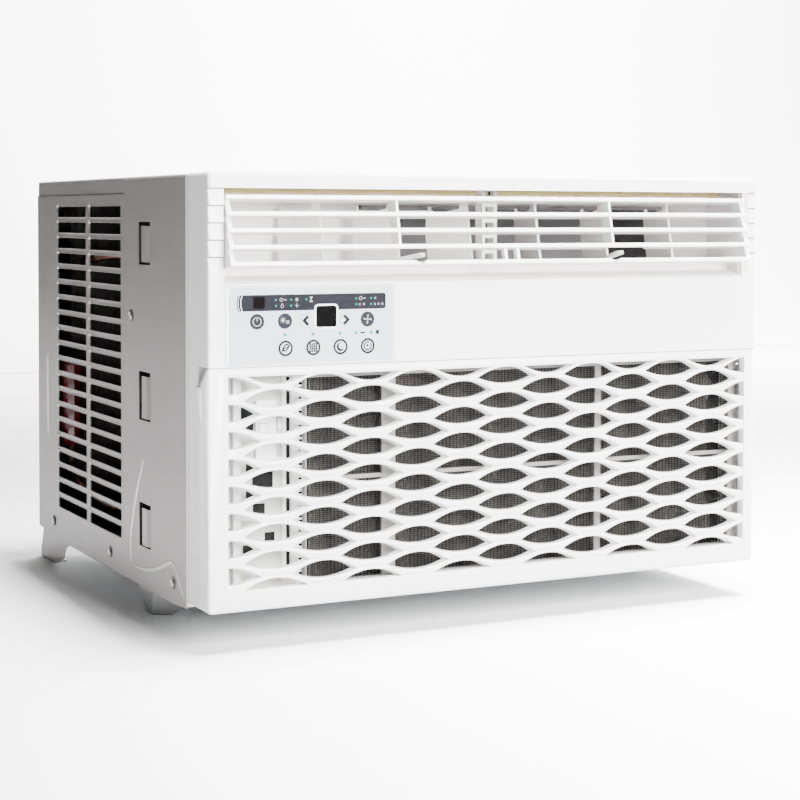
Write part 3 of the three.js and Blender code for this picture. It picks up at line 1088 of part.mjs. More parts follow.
/** From the compressor through the bulkhead to the evaporator's left end. */
function suctionTube() {
  const [x, y, z] = [COMPRESSOR_X - 34, COMPRESSOR_Y, COMPRESSOR_TOP + 4 + GAP];
  const coilFace = EVAPORATOR_LEFT - END_PLATE - GAP;
  const mid = EVAPORATOR_FRONT + EVAPORATOR_D / 2;
  return pipe([[x, y, z], [x, y, z + 26], [x - 12, y - 40, z + 44], [x, y - 84, z - 20],
    [SUCTION_X - 6, BULKHEAD_Y + 34, SUCTION_Z + 20],
    [SUCTION_X, BULKHEAD_Y + 8, SUCTION_Z], [SUCTION_X, BULKHEAD_Y - 14, SUCTION_Z], [SUCTION_X, 96, SUCTION_Z],
    [SUCTION_X, mid + 10, SUCTION_Z], [SUCTION_X + 3, mid + 1, SUCTION_Z], [coilFace - GAP, mid, SUCTION_Z]],
  TUBE_R, 24, 3);
}

/** From the receiver along the left wall and through the bulkhead to the evaporator. */
function liquidTube() {
  const coilFace = EVAPORATOR_LEFT - END_PLATE - GAP;
  const mid = EVAPORATOR_FRONT + EVAPORATOR_D / 2;
  const wall = -HALF + 20;
  return pipe([[RECEIVER_X, RECEIVER_Y, RECEIVER_LOW - GAP], [RECEIVER_X, RECEIVER_Y, RECEIVER_LOW - 26],
    [wall + 4, RECEIVER_Y - 48, 52], [wall, COMPRESSOR_Y, 48], [wall + 4, COMPRESSOR_Y - 75, 60],
    [LIQUID_X - 8, BULKHEAD_Y + 24, LIQUID_Z], [LIQUID_X, BULKHEAD_Y + 8, LIQUID_Z],
    [LIQUID_X, BULKHEAD_Y - 14, LIQUID_Z], [LIQUID_X, 90, LIQUID_Z], [LIQUID_X, mid + 10, LIQUID_Z],
    [LIQUID_X + 3, mid + 1, LIQUID_Z], [coilFace - GAP, mid, LIQUID_Z]], TUBE_R - 1, 26, 3);
}

// ---------------------------------------------------------------- electrics
/** Box of the electrics behind the left of the intake, with slots in its face. */
function controlBox() {
  const [l, r, low, high] = [-HALF + 12, DECK_LEFT - 14, TOE_FLOOR, BOX_TOP];
  const [y0, y1] = [PAN_TOE + PAN_SHEET + GAP, BOX_BACK];
  return cut(block(l, r, y0, y1, low, high), block(l + 2, r - 2, y0 + 2, y1 + 1, low + 2, high - 2));
}

function runCapacitor() {
  const [r, low, high] = [CAPACITOR_R, CAPACITOR_LOW, CAPACITOR_LOW + CAPACITOR_H];
  return revolveZ([[0, low], [r, low], [r, high - 3], [r - 3, high], [0, high]], CAPACITOR_X, CAPACITOR_Y, 12);
}

/** Rubber bushing of the power lead, snapped into the panel's lower wall. */
function cordGland() {
  const [r, n, b] = [GLAND_R + 2.5, GLAND_R, GLAND_BORE_R];
  const [low, high] = [-GAP, PANEL_WALL + GAP];
  return revolveZ([
    [b, low - 2], [r, low - 2], [r, low], [n, low], [n, high], [r, high], [r - 1, high + 2.5], [b, high + 2.5],
    [b, low - 2],
  ], GLAND_X, GLAND_Y, 10);
}

// ---------------------------------------------------------------- assembly
function assemble() {
  const unit = new THREE.Group();
  const add = (name, body, paint) => {
    const part = mesh(name, body, paint);
    unit.add(part);
    return part;
  };
  add('front_panel', frontPanel(), WHITE_ABS);
  add('intake_grille', intakeGrille(), WHITE_ABS);
  add('air_filter', airFilter(), FILTER_NET);
  add('outlet_frame', outletFrame(), WHITE_ABS);
  add('outlet_seal', outletSeal(), FOAM);
  const bank = add('louvre_bank', louvreBank(), WHITE_ABS);
  bank.position.set(0, BANK_PIVOT_Y, BANK_PIVOT_Z);
  bank.rotation.x = -radians(BANK_TILT);
  addVanes(unit);

  add('control_insert', controlInsert(), WHITE_ABS);
  add('control_overlay', controlOverlay(), FILM);
  add('display_window', panelWindow(DISPLAY), DARK_WINDOW);
  add('remote_sensor_window', panelWindow(IR_WINDOW), DARK_WINDOW);
  add('control_board', controlBoard(), BOARD_GREEN);
  for (const [name, { x, z, r }] of Object.entries(KEYS)) {
    const dark = z === TOP_KEYS_Z && r > 6.5;
    add(name, rod('y', r, -0.2, KEY_D, x, z, 12), dark ? SLATE : FILM);
  }

  add('cabinet_wrap', cabinetWrap(), CABINET_PAINT);
  add('base_pan', basePan(), ZINC);
  add('front_foot_left', frontFoot(-1), FOOT_PAINT);
  add('front_foot_right', frontFoot(1), FOOT_PAINT);

  add('evaporator_coil', coil(EVAPORATOR_LEFT, EVAPORATOR_RIGHT, EVAPORATOR_FRONT,
    EVAPORATOR_FRONT + EVAPORATOR_D, TOE_FLOOR, EVAPORATOR_TOP, 3), FIN_ALUMINIUM);
  add('control_box', controlBox(), GREY_PLASTIC);
  add('run_capacitor', runCapacitor(), ZINC);
  add('cord_gland', cordGland(), RUBBER);
  add('blower_housing', blowerHousing(), SCROLL_GREY);
  add('blower_wheel', blowerWheel(), BLACK_PLASTIC);
  add('bulkhead', bulkhead(), ZINC);
  add('motor_shaft', motorShaft(), ZINC);
  add('fan_motor', fanMotor(), BLACK_PAINT);
  add('motor_bracket', motorBracket(), ZINC);
  add('condenser_fan', condenserFan(), BLACK_PLASTIC);
  add('fan_shroud', fanShroud(), BLACK_PLASTIC);
  add('condenser_coil', coil(-CONDENSER_SIDE, CONDENSER_SIDE, COIL_FRONT, COIL_FRONT + COIL_D, PAN_FLOOR,
    CONDENSER_TOP, 4, Math.round((2 * CONDENSER_SIDE) / FIN_RIB_PITCH)), FIN_ALUMINIUM);

  add('compressor', compressor(), BLACK_PAINT);
  for (let k = 0; k < 3; k += 1) {
    add(`compressor_grommet_${k + 1}`, grommet(k), RUBBER);
  }
  add('liquid_receiver', receiver(), COPPER);
  add('discharge_tube', dischargeTube(), COPPER);
  add('suction_tube', suctionTube(), COPPER);
  add('liquid_tube', liquidTube(), COPPER);
  return unit;
}

/** Two groups of three vanes on leaning pivots, each with its link bar. */
function addVanes(unit) {
  const names = ['left', 'right'];
  names.forEach((side, g) => {
    const xs = VANE_X.slice(3 * g, 3 * g + 3);
    xs.forEach((x, k) => {
      const deck = new THREE.Group();
      deck.position.set(x, VANE_Y, VANE_Z);
      deck.rotation.x = -radians(VANE_TILT);
      const part = mesh(`vane_${side}_${k + 1}`, vane(k === 1), VANE_WHITE);
      part.rotation.z = -radians(VANE_TURN[g]);
      deck.add(part);
      unit.add(deck);
    });
    const deck = new THREE.Group();
    deck.position.set(xs[1], VANE_Y, VANE_Z);
    deck.rotation.x = -radians(VANE_TILT);
    const bar = mesh(`vane_link_${side}`, linkBar(xs.map((x) => x - xs[1])), VANE_WHITE);
    const turn = -radians(VANE_TURN[g]);
    bar.position.set(-LINK_BACK * Math.sin(turn), LINK_BACK * Math.cos(turn), 0);
    deck.add(bar);
    unit.add(deck);
  });
}

/** Furthest reach of the tilted louvre bank ahead of the panel face. */
function bankReach() {
  const t = radians(BANK_TILT);
  const dy = -BANK_PIVOT_Y - BANK_PROUD;
  const dz = BANK_TOP - (STEP_COUNT - 1) * BANK_PITCH;
  return BANK_PIVOT_Y + dy * Math.cos(t) + dz * Math.sin(t);
}

const unit = assemble();
unit.position.set(0, -(DEPTH + bankReach()) / 2, LEG_H);
const airConditioner = new THREE.Group();
airConditioner.add(unit);

export default airConditioner;
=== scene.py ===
"""Studio scene of a window air conditioner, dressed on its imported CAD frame.

The CAD nodes keep their shape and get procedural finishes. The script adds what is too
fine for the solids: the rounded wave lattice, the printed key panel, the filter's net,
coil fins, screws and lips of the slots. Lengths in the classes are millimetres in the
panel datum, which is x to the right, y back from the panel's face and z up from the
panel's lower edge.
"""

from __future__ import annotations

import json
import logging
import math
from dataclasses import dataclass, field
from enum import Enum
from typing import Iterable, Sequence

import bmesh
import bpy
from mathutils import Matrix, Vector

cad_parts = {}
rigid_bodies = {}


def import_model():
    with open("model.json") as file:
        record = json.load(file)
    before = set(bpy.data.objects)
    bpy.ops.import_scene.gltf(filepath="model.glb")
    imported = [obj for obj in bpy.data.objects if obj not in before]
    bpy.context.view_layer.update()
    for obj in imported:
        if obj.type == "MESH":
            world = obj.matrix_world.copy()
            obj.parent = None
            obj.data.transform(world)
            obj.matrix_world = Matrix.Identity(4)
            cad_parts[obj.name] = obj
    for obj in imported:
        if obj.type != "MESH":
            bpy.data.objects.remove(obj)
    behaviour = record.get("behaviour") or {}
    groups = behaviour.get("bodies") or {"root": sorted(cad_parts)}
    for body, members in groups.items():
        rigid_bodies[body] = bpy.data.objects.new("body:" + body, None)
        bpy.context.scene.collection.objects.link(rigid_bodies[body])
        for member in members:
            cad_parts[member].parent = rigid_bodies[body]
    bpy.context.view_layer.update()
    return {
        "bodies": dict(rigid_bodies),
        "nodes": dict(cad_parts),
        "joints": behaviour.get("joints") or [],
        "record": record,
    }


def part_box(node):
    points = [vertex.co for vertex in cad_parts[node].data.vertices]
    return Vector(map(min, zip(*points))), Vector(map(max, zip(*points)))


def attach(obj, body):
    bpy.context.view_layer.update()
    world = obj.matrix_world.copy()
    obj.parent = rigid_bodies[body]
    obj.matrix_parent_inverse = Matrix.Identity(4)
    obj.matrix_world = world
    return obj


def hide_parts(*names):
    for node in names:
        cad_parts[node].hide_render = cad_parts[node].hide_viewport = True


LOG = logging.getLogger("window_unit")
MM = 0.001
SMOOTH_ANGLE = 28.0  # edges of the moulded and pressed parts flatter than this shade smooth
KEY_FLAT = 0.966  # a key's half width across its flats, as a share of its corner radius
Point2 = tuple[float, float]
Point3 = tuple[float, float, float]
Colour = tuple[float, float, float]
Plate = tuple[float, float, float, float, float]  # left, right, low, high, thickness
Ring = list[bmesh.types.BMVert]


# --------------------------------------------------------------------------- datum
@dataclass(frozen=True)
class Datum:
    """Maps millimetres in the panel datum to metres in the row frame."""

    y0: float
    z0: float

    @classmethod
    def of_panel(cls) -> "Datum":
        """Reads the panel's face and lower edge from the frame."""
        low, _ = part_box("front_panel")
        return cls(y0=low.y, z0=low.z)

    def at(self, x: float, y: float, z: float) -> Vector:
        """Returns the row-frame point of a datum point."""
        return Vector((x * MM, self.y0 + y * MM, self.z0 + z * MM))


# --------------------------------------------------------------------------- finishes
class Grain(Enum):
    """Relief that a finish carries."""

    NONE = "none"
    MOULDED = "moulded"
    ORANGE_PEEL = "orange_peel"
    SPANGLE = "spangle"
    FOAM = "foam"
    FINS = "fins"
    DRAWN = "drawn"


@dataclass(frozen=True)
class Finish:
    """A procedural surface finish.

    Args:
        name: Material name.
        base: Linear base colour.
        tint: Second colour that a slow noise blends in.
        rough: Roughness.
        metal: Metallic share.
        coat: Clear-coat weight.
        gloss: Specular level of the base layer.
        grain: Kind of relief.
        relief: Bump strength.
        scale: Relief frequency per metre.
        mottle: Frequency of the colour blend per metre.
    """

    name: str
    base: Colour
    tint: Colour
    rough: float
    metal: float = 0.0
    coat: float = 0.0
    gloss: float = 0.5
    grain: Grain = Grain.NONE
    relief: float = 0.1
    scale: float = 900.0
    mottle: float = 14.0

    def build(self) -> bpy.types.Material:
        """Creates the material, or returns the one made before."""
        label = f"{self.name}_finish"
        done = bpy.data.materials.get(label)
        if done is not None:
            return done
        material = bpy.data.materials.new(label)
        material.use_nodes = True
        material.diffuse_color = (*self.base, 1.0)
        tree = material.node_tree
        shader = tree.nodes["Principled BSDF"]
        shader.inputs["Metallic"].default_value = self.metal
        shader.inputs["Coat Weight"].default_value = self.coat
        shader.inputs["Specular IOR Level"].default_value = self.gloss
        shader.inputs["Coat Roughness"].default_value = 0.12
        coords = tree.nodes.new("ShaderNodeTexCoord").outputs["Object"]
        self._colour(tree, coords, shader)
        self._roughness(tree, coords, shader)
        if self.grain is not Grain.NONE:
            self._relief(tree, coords, shader)
        return material

    def _colour(self, tree, coords, shader) -> None:
        """Blends base and tint with a slow noise, or with spangle cells."""
        if self.grain is Grain.SPANGLE:
            pattern = tree.nodes.new("ShaderNodeTexVoronoi")
            pattern.inputs["Scale"].default_value = self.mottle
            factor = tree.nodes.new("ShaderNodeSeparateColor")
            tree.links.new(pattern.outputs["Color"], factor.inputs["Color"])
            amount = factor.outputs["Red"]
        else:
            pattern = tree.nodes.new("ShaderNodeTexNoise")
            pattern.inputs["Scale"].default_value = self.mottle
            pattern.inputs["Detail"].default_value = 3.0
            amount = pattern.outputs["Fac"]
        tree.links.new(coords, pattern.inputs["Vector"])
        mix = tree.nodes.new("ShaderNodeMix")
        mix.data_type = "RGBA"
        mix.inputs["A"].default_value = (*self.base, 1.0)
        mix.inputs["B"].default_value = (*self.tint, 1.0)
        tree.links.new(amount, mix.inputs["Factor"])
        tree.links.new(mix.outputs["Result"], shader.inputs["Base Color"])

    def _roughness(self, tree, coords, shader) -> None:
        """Varies the roughness a little, as handling and moulding do."""
        noise = tree.nodes.new("ShaderNodeTexNoise")
        noise.inputs["Scale"].default_value = self.mottle * 2.3
        noise.inputs["Detail"].default_value = 4.0
        tree.links.new(coords, noise.inputs["Vector"])
        spread = tree.nodes.new("ShaderNodeMapRange")
        spread.inputs["To Min"].default_value = max(0.02, self.rough - 0.05)
        spread.inputs["To Max"].default_value = min(1.0, self.rough + 0.05)
        tree.links.new(noise.outputs["Fac"], spread.inputs["Value"])
        tree.links.new(spread.outputs["Result"], shader.inputs["Roughness"])

    def _relief(self, tree, coords, shader) -> None:
        """Feeds the grain's height into a bump node."""
        if self.grain is Grain.FINS:
            height = tree.nodes.new("ShaderNodeTexWave")
            height.wave_type = "BANDS"
            height.bands_direction = "X"
            height.inputs["Scale"].default_value = self.scale
        elif self.grain is Grain.FOAM:
            height = tree.nodes.new("ShaderNodeTexVoronoi")
            height.inputs["Scale"].default_value = self.scale
        else:
            height = tree.nodes.new("ShaderNodeTexNoise")
            height.inputs["Scale"].default_value = self.scale
            height.inputs["Detail"].default_value = 2.0
        tree.links.new(coords, height.inputs["Vector"])
        bump = tree.nodes.new("ShaderNodeBump")
        bump.inputs["Strength"].default_value = self.relief
        bump.inputs["Distance"].default_value = 0.0006
        source = "Distance" if self.grain is Grain.FOAM else "Fac"
        tree.links.new(height.outputs[source], bump.inputs["Height"])
        tree.links.new(bump.outputs["Normal"], shader.inputs["Normal"])


WHITE_ABS = Finish("white_abs", (0.86, 0.86, 0.855), (0.88, 0.88, 0.875), 0.38, coat=0.12,
                   grain=Grain.MOULDED, relief=0.05, scale=1400)
GRILLE_ABS = Finish("grille_abs", (0.87, 0.87, 0.865), (0.885, 0.885, 0.88), 0.36, coat=0.15,
                    grain=Grain.MOULDED, relief=0.04, scale=1400)
LOUVRE_ABS = Finish("louvre_abs", (0.85, 0.85, 0.845), (0.875, 0.875, 0.87), 0.33, coat=0.2,
                    grain=Grain.MOULDED, relief=0.04, scale=1600)
VANE_ABS = Finish("vane_abs", (0.90, 0.85, 0.845), (0.92, 0.88, 0.875), 0.3, coat=0.2,
                  grain=Grain.MOULDED, relief=0.04, scale=1600)
DUCT_ABS = Finish("duct_abs", (0.86, 0.80, 0.795), (0.89, 0.84, 0.835), 0.5,
                  grain=Grain.MOULDED, relief=0.05, scale=1200)
FILM = Finish("panel_film", (0.48, 0.515, 0.58), (0.50, 0.535, 0.60), 0.6, gloss=0.1,
              grain=Grain.MOULDED, relief=0.03, scale=2600)
SLATE = Finish("slate_ink", (0.0115, 0.0113, 0.0145), (0.0135, 0.0133, 0.017), 0.75, gloss=0.03)
KEY_SLATE = Finish("key_slate", (0.0165, 0.0163, 0.0205), (0.019, 0.0188, 0.0235), 0.75, gloss=0.03,
                   grain=Grain.MOULDED, relief=0.03, scale=2400)
KEY_LIGHT = Finish("key_light", (0.50, 0.53, 0.57), (0.52, 0.55, 0.59), 0.6, gloss=0.1,
                   grain=Grain.MOULDED, relief=0.03, scale=2400)
DARK_INK = Finish("dark_ink", (0.011, 0.0108, 0.014), (0.013, 0.0128, 0.0165), 0.8, gloss=0.02)
PALE_INK = Finish("pale_ink", (0.80, 0.82, 0.85), (0.84, 0.86, 0.88), 0.45)
SOFT_INK = Finish("soft_ink", (0.32, 0.33, 0.35), (0.34, 0.35, 0.37), 0.6, gloss=0.05)
TEAL_LAMP = Finish("teal_lamp", (0.0005, 0.19, 0.135), (0.001, 0.22, 0.16), 0.6, gloss=0.05)
SMOKED = Finish("smoked_window", (0.0018, 0.0018, 0.0018), (0.0024, 0.0024, 0.0024), 0.7, gloss=0.015)
SENSOR = Finish("sensor_window", (0.0024, 0.0014, 0.0016), (0.0034, 0.0022, 0.0024), 0.7, gloss=0.02)
CABINET = Finish("cabinet_paint", (0.165, 0.148, 0.146), (0.188, 0.171, 0.169), 0.38, metal=0.1,
                 coat=0.12, grain=Grain.ORANGE_PEEL, relief=0.05, scale=420, mottle=6)
FOOT = Finish("foot_paint", (0.22, 0.22, 0.22), (0.30, 0.30, 0.30), 0.4, metal=0.5,
              grain=Grain.ORANGE_PEEL, relief=0.08, scale=500)
ZINC = Finish("galvanised", (0.42, 0.43, 0.44), (0.60, 0.61, 0.62), 0.38, metal=0.9,
              grain=Grain.SPANGLE, relief=0.05, scale=300, mottle=160)
SCREW_ZINC = Finish("screw_zinc", (0.50, 0.50, 0.50), (0.66, 0.66, 0.66), 0.28, metal=1.0,
                    grain=Grain.DRAWN, relief=0.1, scale=1800)
# Aluminium fins far darker than bare aluminium: painted shade of the enclosed coil.
SHADED_FIN_ALUMINIUM = Finish("fin_aluminium", (0.13, 0.125, 0.115), (0.19, 0.18, 0.17), 0.5, metal=0.5,
                       grain=Grain.FINS, relief=0.6, scale=110)
SHADED_FIN_EDGES = Finish("fin_edges_painted_shade", (0.12, 0.115, 0.105), (0.18, 0.17, 0.16), 0.5, metal=0.5)
COPPER = Finish("copper_tube", (0.16, 0.075, 0.05), (0.24, 0.12, 0.08), 0.32, metal=1.0,
                grain=Grain.DRAWN, relief=0.08, scale=700, mottle=60)
ENAMEL = Finish("black_enamel", (0.012, 0.012, 0.013), (0.02, 0.02, 0.02), 0.2, coat=0.5,
                grain=Grain.ORANGE_PEEL, relief=0.06, scale=300)
RED_ENAMEL = Finish("red_enamel", (0.085, 0.005, 0.006), (0.12, 0.010, 0.010), 0.22, coat=0.4,
                    grain=Grain.ORANGE_PEEL, relief=0.05, scale=300)
# Near-black condenser fins: painted shade of the dark interior seen through the slots.
SHADED_CONDENSER_FIN = Finish("condenser_fin_painted_shade", (0.018, 0.0175, 0.0165), (0.028, 0.027, 0.026), 0.6, metal=0.3,
                       gloss=0.2, grain=Grain.FINS, relief=0.6, scale=110)
# Galvanised steel darkened to near black for the bulkhead and motor bracket: painted shade of the interior.
SHADED_INNER_ZINC = Finish("inner_zinc_painted_shade", (0.045, 0.045, 0.046), (0.075, 0.075, 0.077), 0.5, metal=0.5,
                    grain=Grain.SPANGLE, relief=0.05, scale=300, mottle=160)
BLACK_ABS = Finish("black_plastic", (0.02, 0.02, 0.021), (0.03, 0.03, 0.03), 0.5,
                   grain=Grain.MOULDED, relief=0.1, scale=900)
GREY_ABS = Finish("grey_plastic", (0.40, 0.38, 0.37), (0.46, 0.44, 0.43), 0.5,
                  grain=Grain.MOULDED, relief=0.08, scale=900)
FOAM_STRIP = Finish("seal_foam", (0.72, 0.54, 0.22), (0.88, 0.70, 0.36), 0.9, gloss=0.2,
                    grain=Grain.FOAM, relief=0.8, scale=700, mottle=90)
EPS = Finish("expanded_foam", (0.62, 0.57, 0.48), (0.70, 0.66, 0.58), 0.85,
             grain=Grain.FOAM, relief=0.5, scale=260, mottle=60)
SCROLL = Finish("scroll_grey", (0.215, 0.20, 0.208), (0.235, 0.22, 0.228), 0.6,
                grain=Grain.MOULDED, relief=0.05, scale=1200)
BOARD = Finish("board_green", (0.02, 0.12, 0.05), (0.03, 0.16, 0.07), 0.4, coat=0.3)
RUBBER = Finish("rubber", (0.018, 0.018, 0.018), (0.03, 0.03, 0.03), 0.75,
                grain=Grain.MOULDED, relief=0.2, scale=700)
NET = Finish("filter_net", (0.022, 0.020, 0.017), (0.034, 0.031, 0.027), 0.8, gloss=0.1)
FILTER_FRAME = Finish("filter_frame", (0.26, 0.245, 0.235), (0.30, 0.285, 0.275), 0.5, gloss=0.2,
                      grain=Grain.MOULDED, relief=0.06, scale=1000)
GREY_WALL = Finish("plenum_grey", (0.50, 0.49, 0.48), (0.55, 0.54, 0.53), 0.6, gloss=0.3,
                   grain=Grain.MOULDED, relief=0.05, scale=1200)
PLENUM_WHITE = Finish("plenum_white", (0.80, 0.80, 0.80), (0.84, 0.84, 0.84), 0.45,
                      grain=Grain.MOULDED, relief=0.05, scale=1200)
# Near-black finish for openings that are not cut: painted shadow in gaps and holes.
GAP_SHADOW = Finish("gap_painted_shadow", (0.008, 0.008, 0.008), (0.013, 0.013, 0.013), 0.85, gloss=0.05)
# Grey of joint lines, also used for painted shadow lines under the step lips and behind the bezel.
SEAM_AND_SHADOW = Finish("seam_and_shadow_grey", (0.10, 0.095, 0.09), (0.13, 0.125, 0.12), 0.8, gloss=0.1)
SPACER = Finish("spacer_brown", (0.05, 0.03, 0.02), (0.07, 0.045, 0.03), 0.6, gloss=0.2)
# Lighter copy of the cabinet paint: painted highlight on the pressed beads and slot bosses.
CABINET_HIGHLIGHT = Finish("cabinet_painted_highlight", (0.62, 0.60, 0.595), (0.70, 0.68, 0.675), 0.22, metal=0.2,
                      coat=0.6, grain=Grain.ORANGE_PEEL, relief=0.05, scale=420, mottle=6)
# Near-black finish on the outer washer faces: painted shadow ring round each screw head.
SCREW_SHADE_RIM = Finish("screw_painted_shade_rim", (0.035, 0.033, 0.031), (0.06, 0.057, 0.054), 0.45, metal=0.6)
BACKDROP = Finish("studio_backdrop", (0.95, 0.95, 0.95), (0.96, 0.96, 0.96), 0.9, mottle=2)
FLOOR = Finish("studio_floor", (0.91, 0.91, 0.91), (0.93, 0.93, 0.93), 0.75, mottle=3)

NODE_FINISHES: dict[str, Finish] = {
    "front_panel": WHITE_ABS, "intake_grille": GRILLE_ABS, "louvre_bank": LOUVRE_ABS,
    "outlet_frame": DUCT_ABS, "outlet_seal": FOAM_STRIP, "control_insert": WHITE_ABS,
    "control_overlay": FILM, "display_window": SMOKED, "remote_sensor_window": SENSOR,
    "control_board": BOARD, "cabinet_wrap": CABINET, "base_pan": ZINC,
    # The coils, bulkhead and motor bracket take darkened finishes: painted shade of the interior.
    "front_foot_left": FOOT, "front_foot_right": FOOT, "evaporator_coil": SHADED_FIN_ALUMINIUM,
    "condenser_coil": SHADED_CONDENSER_FIN, "control_box": GREY_ABS, "run_capacitor": ZINC,
    "cord_gland": RUBBER, "blower_housing": SCROLL, "blower_wheel": BLACK_ABS, "bulkhead": SHADED_INNER_ZINC,
    "motor_shaft": SCREW_ZINC, "fan_motor": ENAMEL, "motor_bracket": SHADED_INNER_ZINC,
    "condenser_fan": BLACK_ABS, "fan_shroud": BLACK_ABS, "compressor": ENAMEL,
    "compressor_grommet_1": RUBBER, "compressor_grommet_2": RUBBER,
    "compressor_grommet_3": RUBBER, "liquid_receiver": RED_ENAMEL,
    "discharge_tube": COPPER, "suction_tube": COPPER, "liquid_tube": COPPER,
    "power_button": KEY_SLATE, "mode_button": KEY_SLATE, "fan_speed_button": KEY_SLATE,
    "temp_down_button": KEY_LIGHT, "temp_up_button": KEY_LIGHT, "eco_button": KEY_LIGHT,
    "filter_button": KEY_LIGHT, "sleep_button": KEY_LIGHT, "timer_button": KEY_LIGHT,
}


# --------------------------------------------------------------------------- mesh kit
def new_object(name: str, mesh: bpy.types.Mesh, finish: Finish) -> bpy.types.Object:
    """Links a mesh as an object with one finish."""
    mesh.materials.clear()
    mesh.materials.append(finish.build())
    piece = bpy.data.objects.new(name, mesh)
    bpy.context.scene.collection.objects.link(piece)
    return piece


def finish_bmesh(name: str, bm: bmesh.types.BMesh, finish: Finish,
                 smooth_angle: float = 0.0) -> bpy.types.Object:
    """Turns a bmesh into an object with outward normals.

    Args:
        name: Object name.
        bm: The bmesh, freed here.
        finish: Surface finish.
        smooth_angle: Edges flatter than this, in degrees, shade smooth.
    """
    bmesh.ops.recalc_face_normals(bm, faces=bm.faces)
    mesh = bpy.data.meshes.new(name)
    bm.to_mesh(mesh)
    bm.free()
    if smooth_angle > 0:
        mesh.shade_smooth()
        mesh.set_sharp_from_angle(angle=math.radians(smooth_angle))
    return new_object(name, mesh, finish)


def add_box(bm: bmesh.types.BMesh, low: Vector, high: Vector) -> None:
    """Adds an axis-aligned box between two corners."""
    size = high - low
    centre = (low + high) / 2
    matrix = Matrix.Translation(centre) @ Matrix.Diagonal((*size, 1.0))
    bmesh.ops.create_cube(bm, size=1.0, matrix=matrix)


def bridge(bm: bmesh.types.BMesh, near: Ring, far: Ring) -> None:
    """Joins two rings of equally many vertices with quads."""
    count = len(near)
    for k in range(count):
        bm.faces.new([near[k], near[(k + 1) % count], far[(k + 1) % count], far[k]])


def close_ends(bm: bmesh.types.BMesh, first: Ring, last: Ring) -> None:
    """Caps both ends of a tube of rings."""
    bm.faces.new(first)
    bm.faces.new(list(reversed(last)))


def bevel_all(bm: bmesh.types.BMesh, width: float, segments: int = 2) -> None:
    """Rounds every sharp edge."""
    sharp = [e for e in bm.edges if len(e.link_faces) == 2 and e.calc_face_angle(0) > 0.4]
    bmesh.ops.bevel(bm, geom=sharp, offset=width, segments=segments, affect="EDGES",
                    clamp_overlap=True)


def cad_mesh(node: str) -> bpy.types.Mesh:
    """Returns a merged copy of a CAD node's mesh."""
    bm = bmesh.new()
    bm.from_mesh(bpy.data.objects[node].data)
    bmesh.ops.remove_doubles(bm, verts=bm.verts, dist=0.01 * MM)
    mesh = bpy.data.meshes.new(f"{node}_copy")
    bm.to_mesh(mesh)
    bm.free()
    return mesh


def combine(piece: bpy.types.Object, tool: bpy.types.Object, operation: str) -> None:
    """Joins or cuts a piece with a tool and keeps the result as a plain mesh."""
    modifier = piece.modifiers.new("combine", "BOOLEAN")
    modifier.operation = operation
    modifier.solver = "EXACT"
    modifier.object = tool
    graph = bpy.context.evaluated_depsgraph_get()
    mesh = bpy.data.meshes.new_from_object(piece.evaluated_get(graph))
    piece.modifiers.remove(modifier)
    piece.data = mesh


